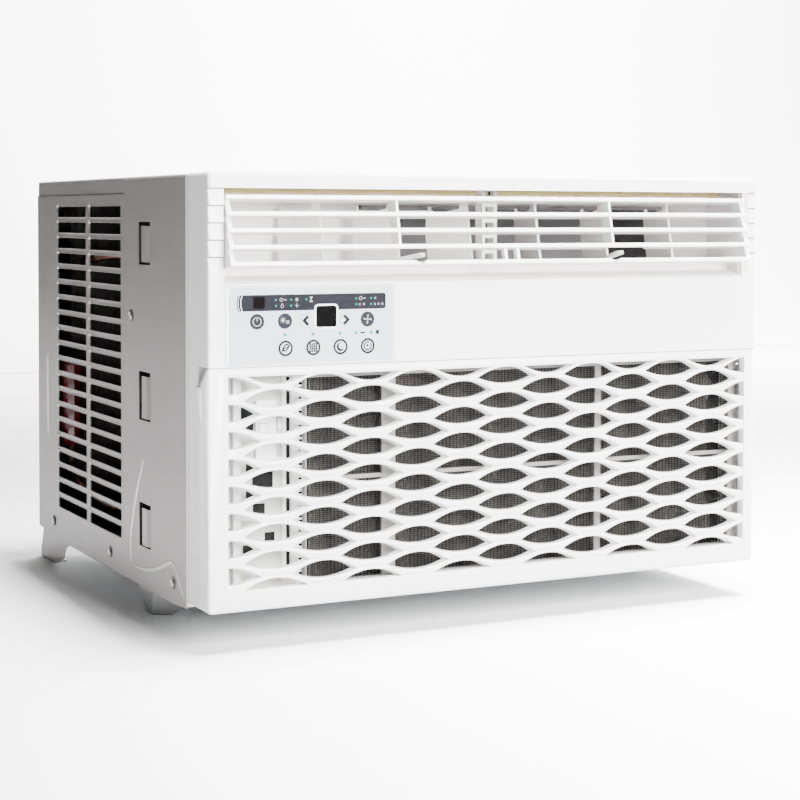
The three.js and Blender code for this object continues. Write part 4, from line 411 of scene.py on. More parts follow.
@dataclass
class Ink:
    """Flat print in the panel plane, given a hair of thickness.

    Shapes are collected in datum x and z millimetres and become one mesh.
    """

    face: float
    thickness: float = 0.06
    polygons: list[list[Point2]] = field(default_factory=list)
    bands: list[list[tuple[Point2, Point2]]] = field(default_factory=list)

    def polygon(self, points: Sequence[Point2]) -> "Ink":
        """Adds a filled shape."""
        self.polygons.append(list(points))
        return self

    def disc(self, cx: float, cz: float, r: float, sides: int = 24) -> "Ink":
        """Adds a filled circle."""
        return self.polygon([(cx + r * math.cos(2 * math.pi * k / sides),
                              cz + r * math.sin(2 * math.pi * k / sides)) for k in range(sides)])

    def stroke(self, points: Sequence[Point2], width: float, closed: bool = False) -> "Ink":
        """Adds a line of constant width with mitred joints."""
        count = len(points)
        pairs: list[tuple[Point2, Point2]] = []
        for k, point in enumerate(points):
            before = points[k - 1] if k > 0 or closed else None
            after = points[(k + 1) % count] if k < count - 1 or closed else None
            pairs.append(self._mitre(before, point, after, width / 2))
        if closed:
            pairs.append(pairs[0])
        self.bands.append(pairs)
        return self

    def arc(self, cx: float, cz: float, r: float, start: float, end: float, width: float,
            steps: int = 20) -> "Ink":
        """Adds part of a ring between two angles in degrees."""
        span = [math.radians(start + (end - start) * k / steps) for k in range(steps + 1)]
        whole = abs(end - start) >= 359.9
        points = [(cx + r * math.cos(a), cz + r * math.sin(a)) for a in span]
        return self.stroke(points[:-1] if whole else points, width, closed=whole)

    def rounded(self, x0: float, x1: float, z0: float, z1: float, r: float) -> "Ink":
        """Adds a filled rectangle with round corners."""
        return self.polygon(rounded_points(x0, x1, z0, z1, r))

    @staticmethod
    def _mitre(before: Point2 | None, point: Point2, after: Point2 | None,
               half: float) -> tuple[Point2, Point2]:
        """Returns the two sides of a line at one of its points."""
        here = Vector(point)
        into = (here - Vector(before)).normalized() if before else None
        out = (Vector(after) - here).normalized() if after else None
        into = into or out
        out = out or into
        mean = (into + out).normalized()
        normal = Vector((-mean.y, mean.x))
        side = Vector((-into.y, into.x))
        reach = half / max(0.35, normal.dot(side))
        left, right = here + normal * reach, here - normal * reach
        return (left.x, left.y), (right.x, right.y)

    def piece(self, name: str, datum: Datum, finish: Finish) -> bpy.types.Object:
        """Builds the print as one thin mesh."""
        bm = bmesh.new()
        for points in self.polygons:
            self._prism(bm, datum, points)
        for pairs in self.bands:
            for (a, b), (c, d) in zip(pairs, pairs[1:]):
                self._prism(bm, datum, [a, b, d, c])
        return finish_bmesh(name, bm, finish)

    def _prism(self, bm: bmesh.types.BMesh, datum: Datum, points: Sequence[Point2]) -> None:
        """Adds a closed prism of one shape."""
        front = [bm.verts.new(datum.at(x, self.face - self.thickness, z)) for x, z in points]
        back = [bm.verts.new(datum.at(x, self.face + 0.02, z)) for x, z in points]
        bm.faces.new(front)
        bm.faces.new(list(reversed(back)))
        count = len(points)
        for k in range(count):
            bm.faces.new([front[k], back[k], back[(k + 1) % count], front[(k + 1) % count]])


def rounded_points(x0: float, x1: float, z0: float, z1: float, r: float,
                   steps: int = 5) -> list[Point2]:
    """Returns a rectangle with round corners, counter-clockwise."""
    points: list[Point2] = []
    corners = ((x1 - r, z0 + r, -90), (x1 - r, z1 - r, 0), (x0 + r, z1 - r, 90), (x0 + r, z0 + r, 180))
    for cx, cz, start in corners:
        for k in range(steps + 1):
            a = math.radians(start + 90 * k / steps)
            points.append((cx + r * math.cos(a), cz + r * math.sin(a)))
    return points


# --------------------------------------------------------------------------- repetition
class Repeater:
    """Copies a mesh along a line with Geometry Nodes and keeps the realised result."""

    def __init__(self) -> None:
        """Starts without a node group; the first use makes it."""
        self._group: bpy.types.NodeTree | None = None

    def _tree(self) -> bpy.types.NodeTree:
        """Builds the node group once: line, instances, realise, material."""
        if self._group is not None:
            return self._group
        tree = bpy.data.node_groups.new("repeat_on_line", "GeometryNodeTree")
        face = tree.interface
        face.new_socket("Geometry", in_out="INPUT", socket_type="NodeSocketGeometry")
        face.new_socket("Count", in_out="INPUT", socket_type="NodeSocketInt")
        face.new_socket("Step", in_out="INPUT", socket_type="NodeSocketVector")
        face.new_socket("Material", in_out="INPUT", socket_type="NodeSocketMaterial")
        face.new_socket("Geometry", in_out="OUTPUT", socket_type="NodeSocketGeometry")
        entry = tree.nodes.new("NodeGroupInput")
        leave = tree.nodes.new("NodeGroupOutput")
        line = tree.nodes.new("GeometryNodeMeshLine")
        line.mode = "OFFSET"
        spread = tree.nodes.new("GeometryNodeInstanceOnPoints")
        real = tree.nodes.new("GeometryNodeRealizeInstances")
        paint = tree.nodes.new("GeometryNodeSetMaterial")
        links = tree.links
        links.new(entry.outputs["Count"], line.inputs["Count"])
        links.new(entry.outputs["Step"], line.inputs["Offset"])
        links.new(line.outputs["Mesh"], spread.inputs["Points"])
        links.new(entry.outputs["Geometry"], spread.inputs["Instance"])
        links.new(spread.outputs["Instances"], real.inputs["Geometry"])
        links.new(real.outputs["Geometry"], paint.inputs["Geometry"])
        links.new(entry.outputs["Material"], paint.inputs["Material"])
        links.new(paint.outputs["Geometry"], leave.inputs["Geometry"])
        self._group = tree
        return tree

    def along(self, source: bpy.types.Object, count: int, step: Vector) -> bpy.types.Object:
        """Replaces an object's mesh by copies of it.

        Args:
            source: The object to copy; it keeps its name and material.
            count: How many copies.
            step: Offset from one copy to the next, in metres.

        Returns:
            The same object with the realised mesh.
        """
        tree = self._tree()
        modifier = source.modifiers.new("repeat", "NODES")
        modifier.node_group = tree
        keys = {item.name: item.identifier for item in tree.interface.items_tree
                if item.item_type == "SOCKET" and item.in_out == "INPUT"}
        modifier[keys["Count"]] = count
        modifier[keys["Step"]] = tuple(step)
        modifier[keys["Material"]] = source.data.materials[0]
        graph = bpy.context.evaluated_depsgraph_get()
        mesh = bpy.data.meshes.new_from_object(source.evaluated_get(graph))
        source.modifiers.remove(modifier)
        source.data = mesh
        return source


# --------------------------------------------------------------------------- lattice
@dataclass(frozen=True)
class WaveLattice:
    """Grille with softly rounded lens openings, which stands for the CAD grille.

    The openings stand in columns half a period apart. Neighbouring columns are staggered
    by half a row, so the bars between them run as waves.
    """

    datum: Datum
    left: float = -281.0
    right: float = 287.5
    low: float = 19.0
    high: float = 211.7
    rail: float = 213.6
    front: float = 0.8
    depth: float = 8.0
    lens_width: float = 65.0
    lens_rise: float = 10.0
    lens_drop: float = 6.0
    top_drop: float = 9.7
    centre: float = 6.6
    column_step: float = 48.0
    row_step: float = 24.5
    first_tip: float = 201.4
    pairs: int = 7
    rows: int = 9
    sides: int = 22
    tip_inset: float = 0.82
    edge: float = 0.03
    lap: float = 0.6
    # growth of the opening against depth from the field's face: a soft front edge
    flare: tuple[Point2, ...] = ((1.25, -2.0), (1.25, 0.0), (0.78, 0.3), (0.38, 0.8), (0.1, 1.5), (0.0, 2.4))

    def build(self) -> None:
        """Cuts the lens openings into a plain field and sets it into the grille's frame."""
        lens = self._lens("lattice_lens", self.lens_drop)
        brow = self._lens("lattice_brow_lens", self.top_drop)
        window = self._block("lattice_window", self.left + self.edge, self.right - self.edge,
                             -4.0, 14.0, self.low + self.edge, self.high)
        field_block = self._block("lattice_field", self.left - self.lap, self.right + self.lap,
                                  self.front, self.front + self.depth, self.low - self.lap,
                                  self.rail + self.lap)
        lattice = self._cut(field_block, lens, brow, window)
        grille = self._frame()
        bm = bmesh.new()
        bm.from_mesh(grille.data)
        bm.from_mesh(lattice.data)
        bm.to_mesh(grille.data)
        bm.free()
        grille.data.shade_smooth()
        grille.data.set_sharp_from_angle(angle=math.radians(SMOOTH_ANGLE))
        for tool in (lens, brow, window, lattice):
            bpy.data.objects.remove(tool)
        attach(grille, "grille")
        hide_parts("intake_grille")

    def _frame(self) -> bpy.types.Object:
        """Copies the CAD grille and opens its whole window."""
        piece = new_object("wave_lattice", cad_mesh("intake_grille"), GRILLE_ABS)
        reveal = self._block("lattice_reveal", self.left, self.right, -3.0, 12.0, self.low, self.rail)
        combine(piece, reveal, "DIFFERENCE")
        bpy.data.objects.remove(reveal)
        return piece

    def _block(self, name: str, x0: float, x1: float, y0: float, y1: float, z0: float,
               z1: float) -> bpy.types.Object:
        """Makes a box between datum coordinates."""
        bm = bmesh.new()
        add_box(bm, self.datum.at(x0, y0, z0), self.datum.at(x1, y1, z1))
        return finish_bmesh(name, bm, GRILLE_ABS)

    def _lens(self, name: str, drop: float) -> bpy.types.Object:
        """Makes one cutter at the origin: a lens that widens to the front and narrows behind."""
        half = self.lens_width / 2
        outline: list[Point2] = []
        for k in range(self.sides):
            u = -1 + 2 * k / self.sides
            outline.append((half * u, -drop * (1 - u * u)))
        for k in range(self.sides):
            u = 1 - 2 * k / self.sides
            outline.append((half * u, self.lens_rise * (1 - u * u)))
        rings: list[list[Point3]] = []
        for grow, y in self.flare:
            rings.append([self._grown(point, grow, drop, y) for point in outline])
        rings.append([(x * self.tip_inset, self.depth + 3.0, z) for x, z in outline])
        bm = bmesh.new()
        loops = [[bm.verts.new(Vector(p) * MM) for p in ring] for ring in rings]
        for lower, upper in zip(loops, loops[1:]):
            bridge(bm, lower, upper)
        close_ends(bm, loops[0], loops[-1])
        return finish_bmesh(name, bm, GRILLE_ABS)

    def _grown(self, point: Point2, grow: float, drop: float, y: float) -> Point3:
        """Scales an outline point so that the lens is wider and taller by the growth."""
        half = self.lens_width / 2
        tall = self.lens_rise if point[1] > 0 else drop
        return (point[0] * (half + grow * 1.6) / half, y, point[1] * (tall + grow) / tall)

    def _cut(self, body: bpy.types.Object, lens: bpy.types.Object, brow: bpy.types.Object,
             window: bpy.types.Object) -> bpy.types.Object:
        """Runs the lattice tree on the blank and keeps the realised mesh."""
        tree = self._tree()
        modifier = body.modifiers.new("lattice", "NODES")
        modifier.node_group = tree
        first = self.datum.at(self.centre - (self.pairs - 1) * self.column_step, self.front, self.first_tip)
        odd = first + Vector((self.column_step, 0, -self.row_step / 2)) * MM
        values = {
            "Lens": lens, "Brow Lens": brow, "Window": window, "Columns": self.pairs, "Rows": self.rows,
            "Column Step": (2 * self.column_step * MM, 0.0, 0.0), "Row Step": (0.0, 0.0, -self.row_step * MM),
            "Even Start": tuple(first), "Odd Start": tuple(odd), "Material": body.data.materials[0],
        }
        for item in tree.interface.items_tree:
            if item.item_type == "SOCKET" and item.in_out == "INPUT" and item.name in values:
                modifier[item.identifier] = values[item.name]
        graph = bpy.context.evaluated_depsgraph_get()
        mesh = bpy.data.meshes.new_from_object(body.evaluated_get(graph))
        body.modifiers.remove(modifier)
        body.data = mesh
        return body

    def _tree(self) -> bpy.types.NodeTree:
        """Grid of lenses, clipped by the window and taken out of the blank."""
        tree = bpy.data.node_groups.new("wave_lattice", "GeometryNodeTree")
        for name, kind in (("Geometry", "Geometry"), ("Lens", "Object"), ("Brow Lens", "Object"),
                           ("Window", "Object"), ("Columns", "Int"), ("Rows", "Int"),
                           ("Column Step", "Vector"), ("Row Step", "Vector"),
                           ("Even Start", "Vector"), ("Odd Start", "Vector"), ("Material", "Material")):
            tree.interface.new_socket(name, in_out="INPUT", socket_type=f"NodeSocket{kind}")
        tree.interface.new_socket("Geometry", in_out="OUTPUT", socket_type="NodeSocketGeometry")
        entry = tree.nodes.new("NodeGroupInput")
        leave = tree.nodes.new("NodeGroupOutput")
        links = tree.links
        joined = tree.nodes.new("GeometryNodeJoinGeometry")
        rise = tree.nodes.new("ShaderNodeVectorMath")
        rise.operation = "SUBTRACT"
        links.new(entry.outputs["Odd Start"], rise.inputs[0])
        links.new(entry.outputs["Row Step"], rise.inputs[1])
        for start, rows, lens in ((entry.outputs["Even Start"], entry.outputs["Rows"], "Lens"),
                                  (entry.outputs["Odd Start"], entry.outputs["Rows"], "Lens"),
                                  (rise.outputs["Vector"], None, "Brow Lens")):
            grid = self._grid(tree, entry, start, rows, lens)
            links.new(grid, joined.inputs["Geometry"])
        real = tree.nodes.new("GeometryNodeRealizeInstances")
        links.new(joined.outputs["Geometry"], real.inputs["Geometry"])
        limit = tree.nodes.new("GeometryNodeObjectInfo")
        links.new(entry.outputs["Window"], limit.inputs["Object"])
        clip = tree.nodes.new("GeometryNodeMeshBoolean")
        clip.operation = "INTERSECT"
        links.new(real.outputs["Geometry"], clip.inputs["Mesh 2"])
        links.new(limit.outputs["Geometry"], clip.inputs["Mesh 2"])
        cut = tree.nodes.new("GeometryNodeMeshBoolean")
        cut.operation = "DIFFERENCE"
        links.new(entry.outputs["Geometry"], cut.inputs["Mesh 1"])
        links.new(clip.outputs["Mesh"], cut.inputs["Mesh 2"])
        done = tree.nodes.new("GeometryNodeRealizeInstances")
        paint = tree.nodes.new("GeometryNodeSetMaterial")
        links.new(cut.outputs["Mesh"], done.inputs["Geometry"])
        links.new(done.outputs["Geometry"], paint.inputs["Geometry"])
        links.new(entry.outputs["Material"], paint.inputs["Material"])
        links.new(paint.outputs["Geometry"], leave.inputs["Geometry"])
        return tree

    @staticmethod
    def _grid(tree: bpy.types.NodeTree, entry: bpy.types.Node, start: bpy.types.NodeSocket,
              rows: bpy.types.NodeSocket | None, lens: str) -> bpy.types.NodeSocket:
        """Adds the nodes of one family of columns and returns its instances."""
        links = tree.links
        across = tree.nodes.new("GeometryNodeMeshLine")
        across.mode = "OFFSET"
        links.new(entry.outputs["Columns"], across.inputs["Count"])
        links.new(start, across.inputs["Start Location"])
        links.new(entry.outputs["Column Step"], across.inputs["Offset"])
        points = across.outputs["Mesh"]
        if rows is not None:
            down = tree.nodes.new("GeometryNodeMeshLine")
            down.mode = "OFFSET"
            links.new(rows, down.inputs["Count"])
            links.new(entry.outputs["Row Step"], down.inputs["Offset"])
            spread = tree.nodes.new("GeometryNodeInstanceOnPoints")
            links.new(points, spread.inputs["Points"])
            links.new(down.outputs["Mesh"], spread.inputs["Instance"])
            real = tree.nodes.new("GeometryNodeRealizeInstances")
            links.new(spread.outputs["Instances"], real.inputs["Geometry"])
            points = real.outputs["Geometry"]
        shape = tree.nodes.new("GeometryNodeObjectInfo")
        links.new(entry.outputs[lens], shape.inputs["Object"])
        place = tree.nodes.new("GeometryNodeInstanceOnPoints")
        links.new(points, place.inputs["Points"])
        links.new(shape.outputs["Geometry"], place.inputs["Instance"])
        return place.outputs["Instances"]


# --------------------------------------------------------------------------- key panel
@dataclass(frozen=True)
class Key:
    """A key of the panel and the print on it."""

    node: str
    x: float
    z: float
    r: float
    dark: bool = False


@dataclass(frozen=True)
class KeyPanel:
    """Printed film, key symbols and indicator lamps."""

    datum: Datum
    film_face: float = 0.0
    key_face: float = -0.2
    strip_below: float = 7.5
    strip_above: float = 7.1
    strip_right: float = 126.6
    strip_corner: float = 1.5
    sensor_edge: float = 5.25
    outline_grow: float = 0.8
    ring_inset: float = 1.0
    ring_width: float = 1.85

    def build(self) -> None:
        """Makes every printed piece of the panel."""
        self._strip()
        self._lamps()
        self._windows()
        for key in self._keys():
            self._symbol(key)

    @staticmethod
    def _centre(node: str) -> tuple[float, float, float]:
        """Returns a node's centre x, centre z and half width in row-frame metres."""
        low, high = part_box(node)
        return (low.x + high.x) / 2, (low.z + high.z) / 2, (high.x - low.x) / 2

    def _keys(self) -> Iterable[Key]:
        """Reads the keys' places from the frame."""
        dark = {"power_button", "mode_button", "fan_speed_button"}
        for node in ("power_button", "mode_button", "temp_down_button", "temp_up_button",
                     "fan_speed_button", "eco_button", "filter_button", "sleep_button",
                     "timer_button"):
            x, z, r = self._centre(node)
            yield Key(node, x / MM, (z - self.datum.z0) / MM, r / MM, node in dark)

    def _add(self, ink: Ink, name: str, finish: Finish, body: str = "cabinet") -> None:
        """Builds a print and parents it to its body."""
        piece = ink.piece(name, self.datum, finish)
        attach(piece, body)

    def _sensor(self) -> Point2:
        """Returns the sensor window's centre, from which the print is set out."""
        x, z, _ = self._centre("remote_sensor_window")
        return x / MM, (z - self.datum.z0) / MM

    def _strip(self) -> None:
        """Slate band along the top of the film, with signal arcs at its left end."""
        sx, sz = self._sensor()
        _, _, sr = self._centre("remote_sensor_window")
        low_corner, high_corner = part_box("display_window")
        grow = self.outline_grow
        notch_left, notch_right = low_corner.x / MM - grow, high_corner.x / MM + grow
        notch_top = (high_corner.z - self.datum.z0) / MM + grow
        low, high, right = sz - self.strip_below, sz + self.strip_above, sx + self.strip_right
        half = sr / MM - 0.25
        ink = Ink(self.film_face)
        radius, mid = 17.9, (low + high) / 2
        rise = (high - low) / 2
        swing = math.asin(rise / radius)
        end = [(sx + 0.8 - radius * math.cos(swing * t), mid + radius * math.sin(swing * t))
               for t in (-1 + k / 6 for k in range(13))]
        ink.polygon([(sx - half, low), (sx - half, high), *reversed(end)])
        edge = self.sensor_edge
        ink.polygon([(sx - half, sz + edge), (sx + half, sz + edge), (sx + half, high), (sx - half, high)])
        ink.polygon([(sx - half, low), (sx + half, low), (sx + half, sz - edge), (sx - half, sz - edge)])
        ink.polygon([(sx + half, low), (notch_left, low), (notch_left, high), (sx + half, high)])
        ink.polygon([(notch_left, notch_top), (notch_right, notch_top), (notch_right, high),
                     (notch_left, high)])
        corner = self.strip_corner
        ink.polygon([(notch_right, low), (right - corner, low), (right, low + corner),
                     (right, high - corner), (right - corner, high), (notch_right, high)])
        self._add(ink, "film_strip", SLATE)
        arcs = Ink(self.film_face)
        turn = math.degrees(swing)
        for shift, width in ((-1.8, 1.6), (-3.9, 1.0)):
            arcs.arc(sx + 0.8 + shift, mid, radius, 180 - turn, 180 + turn, width, 12)
        self._add(arcs, "film_signal_arcs", SLATE)

    def _lamps(self) -> None:
        """Teal indicator lamps and pale pictograms beside them."""
        sx, sz = self._sensor()
        upper, lower = sz + 2.4, sz - 3.0
        lamps = Ink(self.film_face, 0.16)
        strip_lamp, film_lamp = 0.9, 1.6
        notes = Ink(self.film_face, 0.12)
        for dx, rows in ((16.4, (upper, lower)), (31.3, (upper, lower)), (46.4, (upper,)),
                         (96.3, (upper, lower)), (111.6, (upper, lower))):
            for z in rows:
                lamps.disc(sx + dx, z, strip_lamp, 14)
        for dx in (19.8, 99.1):
            self._self_acting(notes, sx + dx + 1.8, upper)
            notes.rounded(sx + dx + 4.4, sx + dx + 6.8, upper - 0.45, upper + 0.45, 0.4)
        self._drop(notes, sx + 22.6, lower)
        for turn in (0, 60, 120):
            self._spoke(notes, sx + 36.9, upper, 1.9, turn)
        for turn in (0, 90):
            self._spoke(notes, sx + 36.9, lower, 1.9, turn)
        notes.polygon([(sx + 49.4, upper + 2.2), (sx + 51.1, upper), (sx + 52.8, upper + 2.2)])
        notes.polygon([(sx + 49.2, upper - 2.4), (sx + 52.9, upper - 2.4), (sx + 51.1, upper)])
        for dx, z in ((99.9, lower), (104.2, lower), (115.7, upper), (115.4, lower), (119.2, lower),
                      (123.0, lower)):
            for turn in (45, 135):
                self._spoke(notes, sx + dx, z, 1.25, turn)
        lamp_row = sz - 29.3
        for dx in (25.3, 52.8, 80.0, 96.3, 111.8):
            lamps.disc(sx + dx, lamp_row, film_lamp, 14)
        marks = Ink(self.film_face, 0.12)
        marks.rounded(sx + 100.4, sx + 105.4, lamp_row - 0.7, lamp_row + 0.7, 0.3)
        marks.rounded(sx + 116.5, sx + 119.7, lamp_row - 1.0, lamp_row + 2.1, 0.4)
        marks.rounded(sx + 116.0, sx + 120.2, lamp_row - 1.6, lamp_row - 0.9, 0.3)
        self._add(lamps, "indicator_lamps", TEAL_LAMP)
        self._add(notes, "indicator_pictograms", SOFT_INK)
        self._add(marks, "timer_marks", DARK_INK)
        low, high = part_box("control_insert")
        border = Ink(0.12)
        border.stroke(rounded_points(low.x / MM - 0.1, high.x / MM + 0.1, (low.z - self.datum.z0) / MM - 0.1,
                                     (high.z - self.datum.z0) / MM + 0.1, 1.0), 0.5, closed=True)
        self._add(border, "insert_seam", SEAM_AND_SHADOW)

    @staticmethod
    def _spoke(ink: Ink, x: float, z: float, reach: float, turn: float) -> None:
        """Adds a short bar through a point."""
        c, s = math.cos(math.radians(turn)) * reach, math.sin(math.radians(turn)) * reach
        ink.stroke([(x - c, z - s), (x + c, z + s)], 0.42)

    @staticmethod
    def _self_acting(ink: Ink, x: float, z: float) -> None:
        """Adds a round arrow, the mark for running by itself."""
        ink.arc(x, z, 1.4, 50, 340, 0.42, 14)
        ink.polygon([(x + 0.7, z + 0.9), (x + 2.0, z + 1.0), (x + 1.4, z - 0.1)])

    @staticmethod
    def _drop(ink: Ink, x: float, z: float) -> None:
        """Adds a water drop, the mark for drying."""
        ink.stroke([(x, z + 2.1), (x - 1.2, z), (x - 1.2, z - 0.9), (x - 0.4, z - 1.7), (x + 0.4, z - 1.7),
                    (x + 1.2, z - 0.9), (x + 1.2, z)], 0.42, closed=True)

    def _windows(self) -> None:
        """Pale outline round the display."""
        low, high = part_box("display_window")
        grow = self.outline_grow
        ink = Ink(self.film_face, 0.1)
        ink.stroke(rounded_points(low.x / MM - grow, high.x / MM + grow, (low.z - self.datum.z0) / MM - grow,
                                  (high.z - self.datum.z0) / MM + grow, 3.0), 1.7, closed=True)
        radius = 2.8
        for sx, edge_x in ((-1, low.x / MM), (1, high.x / MM)):
            for sz, edge_z in ((-1, (low.z - self.datum.z0) / MM), (1, (high.z - self.datum.z0) / MM)):
                cx, cz = edge_x - sx * radius, edge_z - sz * radius
                arc = [(cx + sx * radius * math.cos(a), cz + sz * radius * math.sin(a))
                       for a in (math.radians(15 * k) for k in range(7))]
                for near, far in zip(arc, arc[1:]):
                    ink.polygon([(edge_x + sx * 0.1, edge_z + sz * 0.1), near, far])
        self._add(ink, "display_window_outline", PALE_INK)

    def _symbol(self, key: Key) -> None:
        """Draws one key's symbol."""
        draw = getattr(self, f"_draw_{key.node}")
        ink = Ink(self.key_face, 0.05)
        draw(ink, key.x, key.z, key.r)
        if not key.dark and not key.node.startswith("temp"):
            ink.arc(key.x, key.z, key.r * KEY_FLAT - self.ring_inset, 0, 360, self.ring_width, 40)
        finish = SOFT_INK if key.dark else DARK_INK
        self._add(ink, f"{key.node}_symbol", finish,
                  f"{key.node}_body")

    @staticmethod
    def _draw_power_button(ink: Ink, x: float, z: float, r: float) -> None:
        """Broken ring with a bar."""
        ink.arc(x, z, r * 0.56, 108, 432, 0.8, 20)
        ink.stroke([(x, z + r * 0.05), (x, z + r * 0.62)], 0.7)

    @staticmethod
    def _draw_mode_button(ink: Ink, x: float, z: float, r: float) -> None:
        """Sun over a wave, for the kind of operation."""
        ink.disc(x - r * 0.30, z + r * 0.12, r * 0.20, 14)
        for k in range(8):
            a = math.radians(k * 45)
            c, s = math.cos(a), math.sin(a)
            ink.stroke([(x - r * 0.30 + c * r * 0.28, z + r * 0.12 + s * r * 0.28),
                        (x - r * 0.30 + c * r * 0.40, z + r * 0.12 + s * r * 0.40)], 0.4)
        for dz in (-0.30, -0.05):
            ink.stroke([(x + r * (0.14 + 0.12 * k), z + r * (dz + (0.1 if k % 2 else -0.02)))
                        for k in range(5)], 0.5)

    @staticmethod
    def _draw_temp_down_button(ink: Ink, x: float, z: float, r: float) -> None:
        """Chevron to the left."""
        ink.stroke([(x + r * 0.36, z + r * 0.68), (x - r * 0.34, z), (x + r * 0.36, z - r * 0.68)], 2.9)

    @staticmethod
    def _draw_temp_up_button(ink: Ink, x: float, z: float, r: float) -> None:
        """Chevron to the right."""
        ink.stroke([(x - r * 0.36, z + r * 0.68), (x + r * 0.34, z), (x - r * 0.36, z - r * 0.68)], 2.9)

    @staticmethod
    def _draw_fan_speed_button(ink: Ink, x: float, z: float, r: float) -> None:
        """Four-bladed fan."""
        ink.disc(x, z, r * 0.12, 12)
        for k in range(4):
            turn = math.radians(75 + 90 * k)
            blade = []
            for step in range(13):
                a = step / 12 * math.pi
                u, v = r * (0.14 + 0.25 * (1 - math.cos(a))), r * 0.17 * math.sin(a)
                blade.append((x + u * math.cos(turn) - v * math.sin(turn),
                              z + u * math.sin(turn) + v * math.cos(turn)))
            ink.polygon(blade)

    @staticmethod
    def _draw_eco_button(ink: Ink, x: float, z: float, r: float) -> None:
        """Leaf with its vein."""
        leaf = []
        for k in range(21):
            t = k / 20
            leaf.append((x + r * (-0.42 + 0.9 * t),
                         z + r * (-0.22 + 0.5 * t + 0.42 * math.sin(math.pi * t))))
        for k in range(1, 20):
            t = 1 - k / 20
            leaf.append((x + r * (-0.42 + 0.9 * t),
                         z + r * (-0.22 + 0.5 * t - 0.30 * math.sin(math.pi * t))))
        ink.stroke(leaf, 1.45, closed=True)
        ink.stroke([(x - r * 0.55, z - r * 0.34), (x - r * 0.1, z - r * 0.02),
                    (x + r * 0.28, z + r * 0.18)], 1.0)

    @staticmethod
    def _draw_filter_button(ink: Ink, x: float, z: float, r: float) -> None:
        """Framed grid."""
        half = r * 0.45
        ink.stroke([(x - half, z - half), (x + half, z - half), (x + half, z + half), (x - half, z + half)],
                   1.3, closed=True)
        for k in (-0.66, 0.66):
            ink.stroke([(x - half, z + k * half * 0.5), (x + half, z + k * half * 0.5)], 1.0)
            ink.stroke([(x + k * half * 0.5, z - half), (x + k * half * 0.5, z + half)], 1.0)

    @staticmethod
    def _draw_sleep_button(ink: Ink, x: float, z: float, r: float) -> None:
        """Crescent."""
        outer = [(x + r * 0.02 + r * 0.56 * math.cos(math.radians(a)),
                  z + r * 0.56 * math.sin(math.radians(a))) for a in range(75, 326, 10)]
        inner = [(x + r * 0.18 + r * 0.42 * math.cos(math.radians(a)),
                  z + r * 0.10 + r * 0.42 * math.sin(math.radians(a))) for a in range(300, 94, -14)]
        ink.polygon(outer + inner)
        for dx, dz in ((0.30, 0.16), (0.18, -0.10), (0.42, -0.06)):
            ink.disc(x + r * dx, z + r * dz, r * 0.07, 8)

    @staticmethod
    def _draw_timer_button(ink: Ink, x: float, z: float, r: float) -> None:
        """Clock face with two hands."""
        ink.arc(x, z, r * 0.5, 60, 400, 1.35, 24)
        ink.stroke([(x, z + r * 0.30), (x, z), (x - r * 0.24, z)], 1.2)


